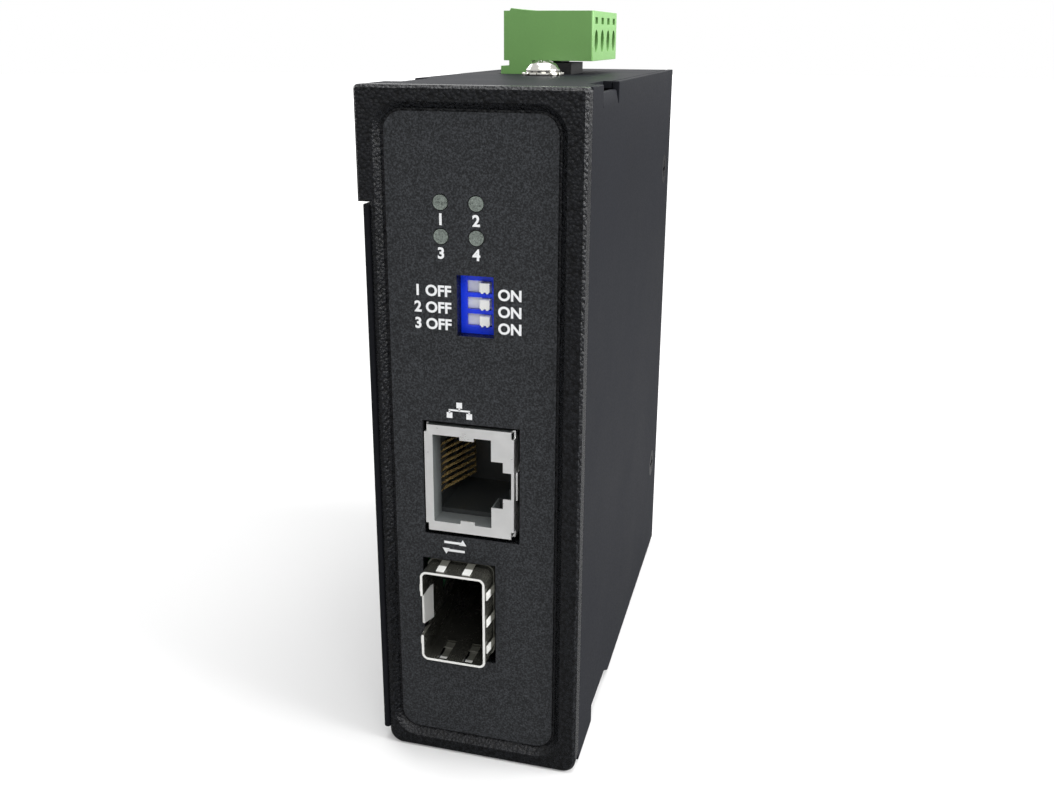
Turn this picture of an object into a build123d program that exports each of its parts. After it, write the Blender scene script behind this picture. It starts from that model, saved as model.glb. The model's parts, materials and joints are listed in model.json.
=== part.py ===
from build123d import *
import os

os.makedirs("parts", exist_ok=True)

# Fibre media converter for a mounting rail: a narrow metal case behind a moulded bezel,
# with a shielded network jack, a cage for a plug-in transceiver, a three-way switch and
# a terminal plug on top. Millimetres. +X is the viewer's right, -Y the front, +Z up.
# The origin is the middle of the case's underside.

# Case
body_width = 31.0
body_depth = 78.0
body_height = 99.0
sheet = 1.0
bend_radius = 1.6
fold_gap = 0.15
seam_gap = 0.12
cover_inset_left = 0.6

# Bezel and its printed overlay
bezel_depth = 2.6
bezel_top_radius = 0.6
bezel_bottom_radius = 2.0
bezel_edge_chamfer = 0.4
bezel_rib_depth = 3.0
bezel_rib_wall = 1.2
step_drop = 15.1
step_gap = 0.35
nose_setback = 0.35
nose_bottom = 2.2
nose_radius = 0.4
recess_depth = 1.0
recess_slope = 0.9
recess_side_margin = 3.4
recess_top_margin = 2.9
recess_bottom_margin = 2.9
recess_radius = 3.0
overlay_thickness = 0.25
overlay_groove = 0.35

# Circuit boards
board_thickness = 1.6
standoff_height = 5.1
board_front_setback = 4.0
board_back_setback = 4.5
board_bottom = 3.5
board_top_margin = 4.0
front_board_gap = 0.1
front_board_below_switch = 6.95
front_board_above_lights = 4.3
front_board_width = 13.5
board_edge_gap = 0.2
link_size = 2.5
link_height = 15.2

# Network jack, lying on its side with the latch keyway to the right
jack_width = 13.1
jack_height = 16.2
jack_length = 21.5
jack_setback = 0.8
jack_drop = 4.55
jack_sheet = 0.3
jack_notch_width = 0.4
jack_notch_height = 1.1
jack_notch_depth = 1.0
jack_window_gap_left = 0.2
jack_window_gap_right = 0.85
jack_window_gap_end = 0.6
mouth_left = 1.25
mouth_right = 9.8
mouth_half = 6.65
mouth_tab = 0.5
mouth_tab_left = 5.2
mouth_tab_right = 7.3
key_one_right = 11.5
key_one_half = 3.5
key_two_right = 12.7
key_two_half = 2.0
collar_depth = 3.0
collar_sheet = 0.25
ground_finger_height = 4.2
ground_finger_rise = 0.45
ground_finger_start = 0.3
ground_finger_tip = 0.8
ground_finger_length = 5.0
ground_finger_sheet = 0.2
insert_gap = 0.05
plug_room_half = 5.95
plug_room_depth = 11.5
plug_room_key_depth = 0.75
contact_count = 8
contact_pitch = 1.02
contact_width = 0.36
contact_thickness = 0.3
contact_slot = 0.5
contact_slot_depth = 0.55
contact_start = 0.4
contact_rise = 2.7
contact_run = 8.2

# Transceiver cage, also on its side
cage_width = 9.7
cage_height = 14.4
cage_length = 46.3
cage_stand_out = 2.3
cage_drop = 25.0
cage_sheet = 0.35
cage_radius = 1.0
cage_window_gap = 0.65
cage_window_bottom_gap = 1.0
latch_slot_width = 6.4
latch_slot_length = 16.3
latch_tongue_width = 5.6
latch_ramp_start = 4.6
latch_ramp_end = 2.5
latch_ramp_rise = 0.75
latch_eye_radius = 1.5
latch_eye_setback = 9.5
floor_slot_width = 1.5
floor_slot_rim = 0.4
floor_slot_end_setback = 2.9
spring_sheet = 0.2
spring_gap = 0.03
spring_collar_setback = 1.6
spring_collar_length = 2.2
spring_width = 1.15
spring_bulge = 0.42
spring_crest_setback = 0.8
spring_tip_stand_out = 1.95
spring_pitch_side = 4.3
spring_pitch_end = 3.9
connector_width = 5.6
connector_height = 12.6
connector_length = 8.6
connector_slot = 1.5
connector_slot_height = 10.2
connector_slot_depth = 5.2
connector_clearance = 0.35
cage_contact_count = 10
cage_contact_pitch = 0.8
cage_contact_width = 0.32
cage_contact_thickness = 0.18
cage_contact_length = 4.6

# Three-way switch
switch_from_board = 7.0
switch_rise = 20.95
switch_width = 7.2
switch_height = 9.0
switch_length = 3.3
switch_window_left = -1.85
switch_window_right = 3.3
switch_window_height = 8.4
switch_pitch = 2.3
switch_count = 3
switch_skin = 0.5
switch_slot_left = -1.0
switch_slot_right = 2.5
switch_slot_height = 1.7
switch_pocket_depth = 1.2
switch_pocket_margin = 0.3
slider_travel = 1.7
slider_nub_width = 1.4
slider_nub_rise = 0.75
slider_plate_thickness = 0.9
slider_plate_margin = 0.15
slider_gap = 0.12
slider_groove = 0.22

# Status lights
light_radius = 1.0
light_hole_radius = 1.1
light_left = -3.9
light_right = 1.0
light_upper_rise = 34.7
light_lower_rise = 30.2
light_setback = 0.7
light_chip_width = 1.6
light_chip_height = 1.2
light_chip_length = 0.65
light_chip_gap = 0.05

# Terminal plug on top, and the header that it goes into
pole_pitch = 5.08
pole_count = 4
plug_end_wall = 0.3
plug_overhang = 0.9
plug_width = 14.9
plug_height = 7.8
plug_lift = 2.1
plug_back_margin = 23.35
plug_hump = 0.4
plug_hump_start = 1.0
plug_hump_peak = 1.2
plug_hump_end = 5.6
plug_corner = 0.3
foot_reach = 0.5
foot_top = 0.85
foot_height = 3.8
foot_chamfer = 0.9
neck_inset = 0.9
tongue_from_board = 1.2
tongue_width = 2.6
tongue_depth = 12.1
tongue_end_inset = 1.6
tongue_gap = 0.3
socket_size = 1.5
entry_width = 2.65
entry_height = 3.5
entry_length = 9.3
entry_drop = 4.7
release_width = 2.1
release_height = 1.0
release_length = 3.0
release_drop = 1.5
clamp_length = 3.0
clamp_width = 1.6
clamp_height = 2.6
clamp_bore = 0.9
clamp_gap = 0.1
header_width = 10.4
header_wall = 1.5
header_block_length = 9.0
header_plug_gap = 0.3
header_end_inset = 0.5
header_base = 2.4
header_shoulder_gap = 0.4
header_left_top = 4.4
header_side_gap = 0.25
pin_leg_rise = 1.6
pin_size = 1.0
pin_height = 7.6
pin_overhang = 0.8
pin_clearance = 0.05
pin_hole = 1.3
panel_gap = 0.6

# Ground screw
ground_x = 0.2
ground_to_plug = 6.39
ground_head_radius = 2.7
ground_head_height = 1.8
ground_length = 5.0
ground_washer_radius = 3.3
ground_washer_thickness = 0.5
ground_teeth = 12
ground_tooth_depth = 0.6
ground_tooth_gap = 0.55
nut_across = 5.5
nut_thickness = 2.4

# Screws
thread_radius = 1.45
thread_clearance = 0.1
flat_head_radius = 2.65
flat_head_length = 5.0
flat_head_sink = 0.05
drive_width = 0.6
drive_length = 3.0
drive_depth = 0.9
cover_screw_setback = 6.0
cover_screw_top_drop = 18.0
cover_screw_lower_z = 20.6
flange_depth = 12.0
flange_height = 12.0
standoff_across = 5.0
board_head_radius = 2.6
board_head_height = 1.7
board_screw_edge = 4.5
board_screw_front = 22.5

# Snap notches and bottom recess of the covers
snap_start = 9.5
snap_length = 11.4
snap_depth = 1.1
snap_slit = 0.4
snap_slit_depth = 1.9
snap_press = 0.35
cover_bottom = 0.9
cover_front_bottom = 0.5
foot_recess_start = 12.4
foot_recess_flat = 10.4
foot_recess_end = 13.8
foot_recess_height = 3.4
foot_recess_fall = 0.4

# Rail clip on the back
rail_height = 35.0
rail_thickness = 1.0
rail_rise = 0.5
rail_play = 0.4
clip_width = 20.0
clip_thickness = 4.2
clip_top_margin = 12.5
clip_radius = 1.5
hook_width = 6.0
hook_height = 2.8
hook_wall = 1.6
hook_drop = 3.2
channel_half = 6.0
channel_depth = 3.0
channel_top_margin = 7.5
latch_gap = 0.15
latch_face_gap = 0.1
latch_reach_down = 34.0
latch_reach_up = 6.0
latch_travel = 4.0
latch_lip = 2.2
latch_heel = 4.4
latch_radius = 1.2
pull_slot_width = 7.0
pull_slot_height = 2.6
pull_slot_margin = 4.2
spring_window_half = 1.6
spring_window_down = 10.0
spring_window_up = 4.0
spring_seat_height = 1.8
spring_seat_gap = 0.2
leaf_thickness = 0.3
leaf_width = 2.0
leaf_folds = 4
clip_screw_upper = 26.0
clip_screw_lower = 14.0

# Parts on the main board
chip_size = 10.0
chip_height = 1.2
transformer_length = 15.5
transformer_width = 7.2
transformer_height = 5.0
inductor_size = 7.3
inductor_height = 4.2
capacitor_radius = 3.1
capacitor_height = 7.5
capacitor_base = 6.6
capacitor_base_height = 0.9
crystal_length = 5.0
crystal_width = 3.2
crystal_height = 1.2
diode_length = 4.6
diode_width = 2.8
diode_height = 2.3
fuse_length = 6.2
fuse_width = 2.6
fuse_height = 2.6
box_chamfer = 0.25
inductor_corner = 1.2
transformer_gap = 4.1

# Places of those parts: two from the front and above the middle height, the capacitors from
# the back and above it, and the input's parts from the plug's middle and below the header
chip_place = (34.0, 12.5)
crystal_place = (44.0, 12.5)
capacitor_places = [(12.0, 10.5), (12.0, 1.0), (21.0, 1.0)]
inductor_place = (0.35, 14.0)
diode_places = [(-8.65, 5.0), (-1.65, 5.0)]
fuse_place = (8.35, 5.0)

# Places worked out from the sizes above
half_width = body_width / 2
front_y = -body_depth / 2
back_y = body_depth / 2
middle_z = body_height / 2
step_height = body_height - step_drop
cover_inner_right = half_width - sheet
cover_outer_left = -half_width + cover_inset_left
cover_inner_left = cover_outer_left + sheet
chassis_left = cover_inner_left + fold_gap
chassis_right = cover_inner_right - fold_gap
chassis_front = front_y + bezel_depth + seam_gap
recess_width = body_width - 2 * recess_side_margin
recess_height = body_height - recess_top_margin - recess_bottom_margin
recess_middle_z = recess_bottom_margin + recess_height / 2
board_back_x = cover_inner_left + standoff_height
board_face_x = board_back_x + board_thickness
board_front = front_y + board_front_setback
board_back = back_y - board_back_setback
board_top = body_height - board_top_margin
jack_left = board_face_x
jack_right = jack_left + jack_width
jack_middle_z = middle_z - jack_drop
cage_left = board_face_x
cage_right = cage_left + cage_width
cage_middle_x = cage_left + cage_width / 2
cage_middle_z = middle_z - cage_drop
cage_top = cage_middle_z + cage_height / 2
cage_bottom = cage_middle_z - cage_height / 2
cage_back_setback = cage_length - cage_stand_out
switch_middle_x = board_face_x + switch_from_board
switch_middle_z = middle_z + switch_rise
switch_setback = bezel_depth + front_board_gap
front_board_setback = switch_setback + switch_length
front_board_bottom = switch_middle_z - front_board_below_switch
front_board_top = middle_z + light_upper_rise + front_board_above_lights
front_board_left = board_face_x + board_edge_gap
slot_heights = [
    switch_middle_z + switch_pitch * ((switch_count - 1) / 2 - place) for place in range(switch_count)
]
plug_left = board_face_x - plug_overhang
plug_right = plug_left + plug_width
plug_bottom = body_height + plug_lift
plug_top = plug_bottom + plug_height
plug_length = pole_count * pole_pitch + 2 * plug_end_wall
plug_middle_y = back_y - plug_back_margin
plug_front_setback = plug_middle_y - front_y - plug_length / 2
pole_places = [
    plug_middle_y + pole_pitch * (place - (pole_count - 1) / 2) for place in range(pole_count)
]
tongue_left = board_face_x + tongue_from_board
tongue_right = tongue_left + tongue_width
cavity_left = tongue_left - tongue_gap
cavity_right = tongue_right + tongue_gap
header_top = plug_bottom - header_plug_gap
header_bottom = header_top - tongue_depth - tongue_gap - header_base
header_wall_right = cavity_right + header_wall
header_right = board_face_x + header_width
header_front_setback = plug_front_setback + header_end_inset
header_length = plug_length - 2 * header_end_inset
pin_x = tongue_left + tongue_width / 2
pin_low_z = header_bottom + pin_leg_rise
ground_y = plug_middle_y - plug_length / 2 - ground_to_plug
screw_heights = [cover_screw_lower_z, body_height - cover_screw_top_drop]
cover_screw_y = back_y - cover_screw_setback
board_screw_places = [
    (board_front + board_screw_edge, board_bottom + board_screw_edge),
    (board_back - board_screw_edge, board_bottom + board_screw_edge),
    (board_front + board_screw_front, board_top - board_screw_edge),
    (board_back - board_screw_edge, board_top - board_screw_edge),
]
light_places = [
    (switch_middle_x + light_x, middle_z + light_rise)
    for light_rise in (light_upper_rise, light_lower_rise)
    for light_x in (light_left, light_right)
]
rail_middle_z = middle_z + rail_rise
clip_screw_places = [
    (0, rail_middle_z + clip_screw_upper),
    (0, rail_middle_z + clip_screw_lower),
]
rail_top = rail_middle_z + rail_height / 2
rail_bottom = rail_middle_z - rail_height / 2
clip_back = back_y + clip_thickness
rail_back = clip_back + rail_thickness + rail_play
latch_bottom_z = rail_middle_z - latch_reach_down
latch_top_z = rail_middle_z + latch_reach_up
spring_window_bottom = rail_middle_z - spring_window_down
spring_window_top = rail_middle_z + spring_window_up


def front_at(setback, x=0, z=0):
    """A plane parallel to the front, drawn in X and Z, its normal towards the viewer."""
    return Plane(origin=(x, front_y + setback, z), x_dir=(1, 0, 0), z_dir=(0, -1, 0))


def side_at(x):
    """A plane parallel to the sides, drawn in Y and Z, its normal to the right."""
    return Plane(origin=(x, 0, 0), x_dir=(0, 1, 0), z_dir=(1, 0, 0))


def out_of(x, y, z, direction):
    """A place on a face, with holes and screws pointing back along the direction."""
    return Plane(origin=(x, y, z), z_dir=direction)


def save(part, name):
    part.label = name
    export_step(part, f"parts/{name}.step")


def draw_windows(mode):
    """The openings of the front, which the bezel and its overlay share."""
    with Locations(*light_places):
        Circle(light_hole_radius, mode=mode)
    window_x = switch_middle_x + (switch_window_left + switch_window_right) / 2
    with Locations((window_x, switch_middle_z)):
        Rectangle(switch_window_right - switch_window_left, switch_window_height, mode=mode)
    low_x = jack_left - jack_window_gap_left
    high_x = jack_right + jack_window_gap_right
    with Locations(((low_x + high_x) / 2, jack_middle_z)):
        Rectangle(high_x - low_x, jack_height + 2 * jack_window_gap_end, mode=mode)
    low_z = cage_bottom - cage_window_bottom_gap
    high_z = cage_top + cage_window_gap
    with Locations((cage_middle_x, (low_z + high_z) / 2)):
        Rectangle(cage_width + 2 * cage_window_gap, high_z - low_z, mode=mode)


def cross_drive(length):
    """Sink a cross recess into the part being built, down from z = 0."""
    with BuildSketch(Plane.XY) as cross:
        Rectangle(length, drive_width)
        Rectangle(drive_width, length)
    extrude(cross.sketch, amount=-drive_depth, mode=Mode.SUBTRACT)


def draw_key_shape(half, key_right, inset):
    """The mouth of the network jack: the plug's opening and the latch's two steps."""
    with Locations(((mouth_left + mouth_right) / 2, 0)):
        Rectangle(mouth_right - mouth_left, 2 * half)
    key_one = key_one_right - inset
    with Locations(((mouth_left + key_one) / 2, 0)):
        Rectangle(key_one - mouth_left, 2 * (key_one_half - inset))
    with Locations(((mouth_left + key_right) / 2, 0)):
        Rectangle(key_right - mouth_left, 2 * key_two_half)


# Front bezel, stepped down its left side where the cover comes forward
with BuildPart() as front_bezel:
    step_x = cover_inner_left + seam_gap
    with BuildSketch(front_at(0)):
        with BuildLine():
            Polyline(
                (-half_width, step_height),
                (-half_width, body_height),
                (half_width, body_height),
                (half_width, 0),
                (step_x, 0),
                (step_x, step_height),
                close=True,
            )
        make_face()
    extrude(amount=-bezel_depth)
    fillet(front_bezel.edges().filter_by(Axis.Y).group_by(Axis.Z)[0], radius=bezel_bottom_radius)
    fillet(front_bezel.edges().filter_by(Axis.Y).group_by(Axis.Z)[-1], radius=bezel_top_radius)
    chamfer(front_bezel.faces().sort_by(Axis.Y)[0].outer_wire().edges(), length=bezel_edge_chamfer)
    with BuildSketch(front_at(0, z=recess_middle_z)):
        RectangleRounded(
            recess_width + 2 * recess_slope,
            recess_height + 2 * recess_slope,
            recess_radius + recess_slope,
        )
    with BuildSketch(front_at(recess_depth, z=recess_middle_z)):
        RectangleRounded(recess_width, recess_height, recess_radius)
    loft(mode=Mode.SUBTRACT)
    rib_width = chassis_right - chassis_left
    rib_height = body_height - 2 * (sheet + fold_gap)
    with BuildSketch(front_at(bezel_depth, (chassis_left + chassis_right) / 2, body_height / 2)):
        Rectangle(rib_width, rib_height)
        Rectangle(rib_width - 2 * bezel_rib_wall, rib_height - 2 * bezel_rib_wall, mode=Mode.SUBTRACT)
    extrude(amount=-bezel_rib_depth)
    with BuildSketch(front_at(0)):
        draw_windows(Mode.ADD)
    extrude(amount=-bezel_depth, mode=Mode.SUBTRACT)
save(front_bezel.part, "front_bezel")

# Printed overlay on the floor of the bezel's recess
with BuildPart() as front_overlay:
    with BuildSketch(front_at(recess_depth - overlay_thickness)):
        with Locations((0, recess_middle_z)):
            RectangleRounded(
                recess_width - 2 * overlay_groove,
                recess_height - 2 * overlay_groove,
                recess_radius - overlay_groove,
            )
        draw_windows(Mode.SUBTRACT)
    extrude(amount=-overlay_thickness)
save(front_overlay.part, "front_overlay")

# Case: one folded sheet for the top, back and bottom, with two flanges for the covers
with BuildPart() as chassis:
    with BuildSketch(side_at(chassis_left)):
        with BuildLine():
            FilletPolyline(
                (chassis_front, body_height - sheet / 2),
                (back_y - sheet / 2, body_height - sheet / 2),
                (back_y - sheet / 2, sheet / 2),
                (chassis_front, sheet / 2),
                radius=bend_radius - sheet / 2,
            )
        trace(line_width=sheet)
    extrude(amount=chassis_right - chassis_left)
    for flange_x in (chassis_left, chassis_right - sheet):
        with BuildSketch(side_at(flange_x)):
            for z in screw_heights:
                with Locations((back_y - (flange_depth + sheet) / 2, z)):
                    Rectangle(flange_depth, flange_height)
        extrude(amount=sheet)
    with BuildSketch(Plane.XY.offset(body_height)):
        hole_left = plug_left - foot_reach - panel_gap
        hole_right = header_wall_right + header_side_gap
        with Locations(((hole_left + hole_right) / 2, plug_middle_y)):
            Rectangle(hole_right - hole_left, plug_length + 2 * panel_gap)
        bay_right = header_right + header_side_gap
        bay_front = front_y + plug_front_setback - panel_gap
        bay_back = front_y + header_front_setback + header_block_length + header_side_gap
        with Locations(((hole_left + bay_right) / 2, (bay_front + bay_back) / 2)):
            Rectangle(bay_right - hole_left, bay_back - bay_front)
        snap_inset = snap_press + sheet - fold_gap
        for edge_x in (chassis_left, chassis_right):
            with Locations((edge_x, front_y + snap_start + snap_length / 2)):
                Rectangle(2 * snap_inset, snap_length)
    extrude(amount=-sheet, mode=Mode.SUBTRACT)
    with Locations((ground_x, ground_y, body_height)):
        Hole(thread_radius + thread_clearance, depth=sheet)
    for z in screw_heights:
        with Locations(out_of(chassis_right, cover_screw_y, z, (1, 0, 0))):
            Hole(thread_radius + thread_clearance, depth=sheet)
        with Locations(out_of(chassis_left, cover_screw_y, z, (-1, 0, 0))):
            Hole(thread_radius + thread_clearance, depth=sheet)
    for x, z in clip_screw_places:
        with Locations(out_of(x, back_y, z, (0, 1, 0))):
            Hole(thread_radius + thread_clearance, depth=sheet)
save(chassis.part, "chassis")


def make_cover(outer_x, side, with_nose):
    """A flat cover with a pressed-in snap at its top edge and a recess at its foot."""
    inner_x = outer_x - side * sheet
    with BuildPart() as cover:
        with BuildSketch(side_at(min(inner_x, outer_x))):
            with BuildLine():
                Polyline(
                    (chassis_front, cover_front_bottom),
                    (front_y + foot_recess_start, cover_front_bottom),
                    (front_y + foot_recess_start, foot_recess_height),
                    (front_y + foot_recess_start + foot_recess_flat, foot_recess_height - foot_recess_fall),
                    (front_y + foot_recess_start + foot_recess_end, cover_bottom),
                    (back_y, cover_bottom),
                    (back_y, body_height),
                    (chassis_front, body_height),
                    close=True,
                )
            make_face()
            if with_nose:
                nose_top = step_height - step_gap
                nose_front = front_y + nose_setback
                with Locations(((nose_front + chassis_front) / 2, (nose_bottom + nose_top) / 2)):
                    Rectangle(chassis_front - nose_front, nose_top - nose_bottom)
            slot_middle = front_y + snap_start + snap_length / 2
            slot_height = snap_depth + snap_slit_depth
            with Locations((slot_middle, body_height - slot_height / 2)):
                Rectangle(snap_length, slot_height, mode=Mode.SUBTRACT)
        extrude(amount=sheet)
        if with_nose:
            front_edges = cover.edges().filter_by(Axis.Z).group_by(Axis.Y)[0]
            fillet(front_edges, radius=nose_radius)
        with BuildSketch(front_at(snap_start + snap_slit)):
            snap_low = body_height - snap_depth - snap_slit_depth
            snap_high = body_height - snap_depth
            with BuildLine():
                Polyline(
                    (inner_x, snap_low),
                    (outer_x, snap_low),
                    (outer_x - side * snap_press, snap_high),
                    (inner_x - side * snap_press, snap_high),
                    close=True,
                )
            make_face()
        extrude(amount=-(snap_length - 2 * snap_slit))
        for z in screw_heights:
            with Locations(out_of(outer_x, cover_screw_y, z, (side, 0, 0))):
                CounterSinkHole(
                    thread_radius + 2 * thread_clearance,
                    flat_head_radius + flat_head_sink,
                    depth=sheet,
                    counter_sink_angle=90,
                )
    return cover.part


save(make_cover(half_width, 1, False), "right_cover")
save(make_cover(cover_outer_left, -1, True), "left_cover")


def make_flat_screw():
    """A flat-head screw whose face is at z = 0 and whose thread points down."""
    with BuildPart() as screw:
        with BuildSketch(Plane.XZ):
            with BuildLine():
                Polyline(
                    (0, 0),
                    (flat_head_radius, 0),
                    (thread_radius, thread_radius - flat_head_radius),
                    (thread_radius, -flat_head_length),
                    (0, -flat_head_length),
                    close=True,
                )
            make_face()
        revolve(axis=Axis.Z)
        cross_drive(drive_length)
    return screw.part


flat_screw = make_flat_screw()
with BuildPart() as cover_screws:
    for z in screw_heights:
        with Locations(out_of(half_width - flat_head_sink, cover_screw_y, z, (1, 0, 0))):
            add(flat_screw)
        with Locations(out_of(cover_outer_left + flat_head_sink, cover_screw_y, z, (-1, 0, 0))):
            add(flat_screw)
save(cover_screws.part, "cover_screws")

# Main board, upright and parallel to the sides
with BuildPart() as circuit_board:
    with BuildSketch(side_at(board_back_x)):
        with Locations(((board_front + board_back) / 2, (board_bottom + board_top) / 2)):
            Rectangle(board_back - board_front, board_top - board_bottom)
        with Locations(*board_screw_places):
            Circle(thread_radius + thread_clearance, mode=Mode.SUBTRACT)
        for y in pole_places:
            with Locations((y, pin_low_z)):
                Rectangle(pin_hole, pin_hole, mode=Mode.SUBTRACT)
    extrude(amount=board_thickness)
save(circuit_board.part, "circuit_board")

# Standoffs between the left cover and the main board
with BuildPart() as board_standoffs:
    with BuildSketch(side_at(cover_inner_left)):
        with Locations(*board_screw_places):
            RegularPolygon(standoff_across / 2, 6, major_radius=False)
    extrude(amount=board_back_x - cover_inner_left)
save(board_standoffs.part, "board_standoffs")

with BuildPart() as board_screw:
    Cylinder(board_head_radius, board_head_height, align=(Align.CENTER, Align.CENTER, Align.MAX))
    with Locations((0, 0, -board_head_height)):
        Cylinder(thread_radius, board_thickness, align=(Align.CENTER, Align.CENTER, Align.MAX))
with BuildPart() as board_screws:
    for y, z in board_screw_places:
        with Locations(out_of(board_face_x + board_head_height, y, z, (1, 0, 0))):
            add(board_screw.part)
save(board_screws.part, "board_screws")

# Small board behind the bezel, for the switch and the light chips
with BuildPart() as front_board:
    front_board_middle_z = (front_board_bottom + front_board_top) / 2
    with BuildSketch(front_at(front_board_setback)):
        with Locations((front_board_left + front_board_width / 2, front_board_middle_z)):
            Rectangle(front_board_width, front_board_top - front_board_bottom)
    extrude(amount=-board_thickness)
save(front_board.part, "front_board")

# Strip that joins the two boards at their corner
with BuildPart() as board_link:
    with BuildSketch(front_at(front_board_setback + board_thickness)):
        with Locations((board_face_x + link_size / 2, front_board_middle_z)):
            Rectangle(link_size, link_height)
    extrude(amount=-link_size)
save(board_link.part, "board_link")

# Network jack: folded metal shield with the mouth, its inner collar and a ground finger
with BuildPart() as jack_shield:
    with BuildSketch(front_at(jack_setback, jack_left + jack_width / 2, jack_middle_z)):
        Rectangle(jack_width, jack_height)
    extrude(amount=-jack_length)
    with BuildSketch(front_at(jack_setback + jack_sheet, jack_left + jack_width / 2, jack_middle_z)):
        Rectangle(jack_width - 2 * jack_sheet, jack_height - 2 * jack_sheet)
    extrude(amount=-(jack_length - 2 * jack_sheet), mode=Mode.SUBTRACT)
    with BuildSketch(front_at(jack_setback + jack_sheet, jack_left, jack_middle_z)):
        with Locations(((mouth_left + mouth_right) / 2, 0)):
            Rectangle(mouth_right - mouth_left + 2 * collar_sheet, 2 * (mouth_half + collar_sheet))
            Rectangle(mouth_right - mouth_left, 2 * mouth_half, mode=Mode.SUBTRACT)
        with Locations((mouth_right, 0)):
            Rectangle(4 * collar_sheet, 2 * key_one_half, mode=Mode.SUBTRACT)
    extrude(amount=-collar_depth)
    with BuildSketch(front_at(jack_setback, jack_left, jack_middle_z)):
        draw_key_shape(mouth_half, key_two_right, 0)
        for z in (-mouth_half + mouth_tab / 2, mouth_half - mouth_tab / 2):
            with Locations(((mouth_tab_left + mouth_tab_right) / 2, z)):
                Rectangle(mouth_tab_right - mouth_tab_left, mouth_tab, mode=Mode.SUBTRACT)
    extrude(amount=-jack_sheet, mode=Mode.SUBTRACT)
    with BuildSketch(front_at(jack_setback, jack_left + jack_width / 2, jack_middle_z)):
        with GridLocations(jack_width, jack_height, 2, 2):
            Rectangle(2 * jack_notch_width, 2 * jack_notch_height)
    extrude(amount=-jack_notch_depth, mode=Mode.SUBTRACT)
    with BuildSketch(Plane.XY.offset(jack_middle_z - ground_finger_height / 2)):
        finger_y = front_y + jack_setback + ground_finger_start
        finger_x = jack_right - ground_finger_sheet / 2
        with BuildLine():
            FilletPolyline(
                (finger_x + ground_finger_rise, finger_y),
                (finger_x + ground_finger_rise, finger_y + ground_finger_tip),
                (finger_x, finger_y + ground_finger_length),
                radius=ground_finger_rise,
            )
        trace(line_width=ground_finger_sheet)
    extrude(amount=ground_finger_height)
save(jack_shield.part, "jack_shield")

# Black insert of the jack, with the room for the plug and a comb for the contacts
insert_setback = jack_setback + jack_sheet + collar_depth
insert_wall = jack_sheet + insert_gap
with BuildPart() as jack_insert:
    with BuildSketch(front_at(insert_setback, jack_left + jack_width / 2, jack_middle_z)):
        Rectangle(jack_width - 2 * insert_wall, jack_height - 2 * insert_wall)
    extrude(amount=-(jack_setback + jack_length - insert_wall - insert_setback))
    with BuildSketch(front_at(insert_setback, jack_left, jack_middle_z)):
        draw_key_shape(plug_room_half, key_one_right + plug_room_key_depth, insert_gap)
    extrude(amount=-plug_room_depth, mode=Mode.SUBTRACT)
    with BuildSketch(front_at(insert_setback, jack_left + mouth_left, jack_middle_z)):
        with GridLocations(0, contact_pitch, 1, contact_count):
            Rectangle(2 * contact_slot_depth, contact_slot)
    extrude(amount=-(plug_room_depth - contact_slot_depth), mode=Mode.SUBTRACT)
save(jack_insert.part, "jack_insert")

# Eight sprung contacts, each rising out of its slot towards the back of the jack
with BuildPart() as jack_contacts:
    contact_x = jack_left + mouth_left - contact_thickness
    contact_y = front_y + insert_setback + contact_start
    first_z = jack_middle_z - contact_pitch * (contact_count - 1) / 2 - contact_width / 2
    for place in range(contact_count):
        with BuildSketch(Plane.XY.offset(first_z + contact_pitch * place)):
            with BuildLine():
                Polyline(
                    (contact_x, contact_y),
                    (contact_x, contact_y + 2 * contact_thickness),
                    (contact_x + contact_rise, contact_y + contact_run),
                    (contact_x + contact_rise - contact_thickness, contact_y + contact_run + 1),
                )
            trace(line_width=contact_thickness)
        extrude(amount=contact_width)
save(jack_contacts.part, "jack_contacts")

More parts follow.
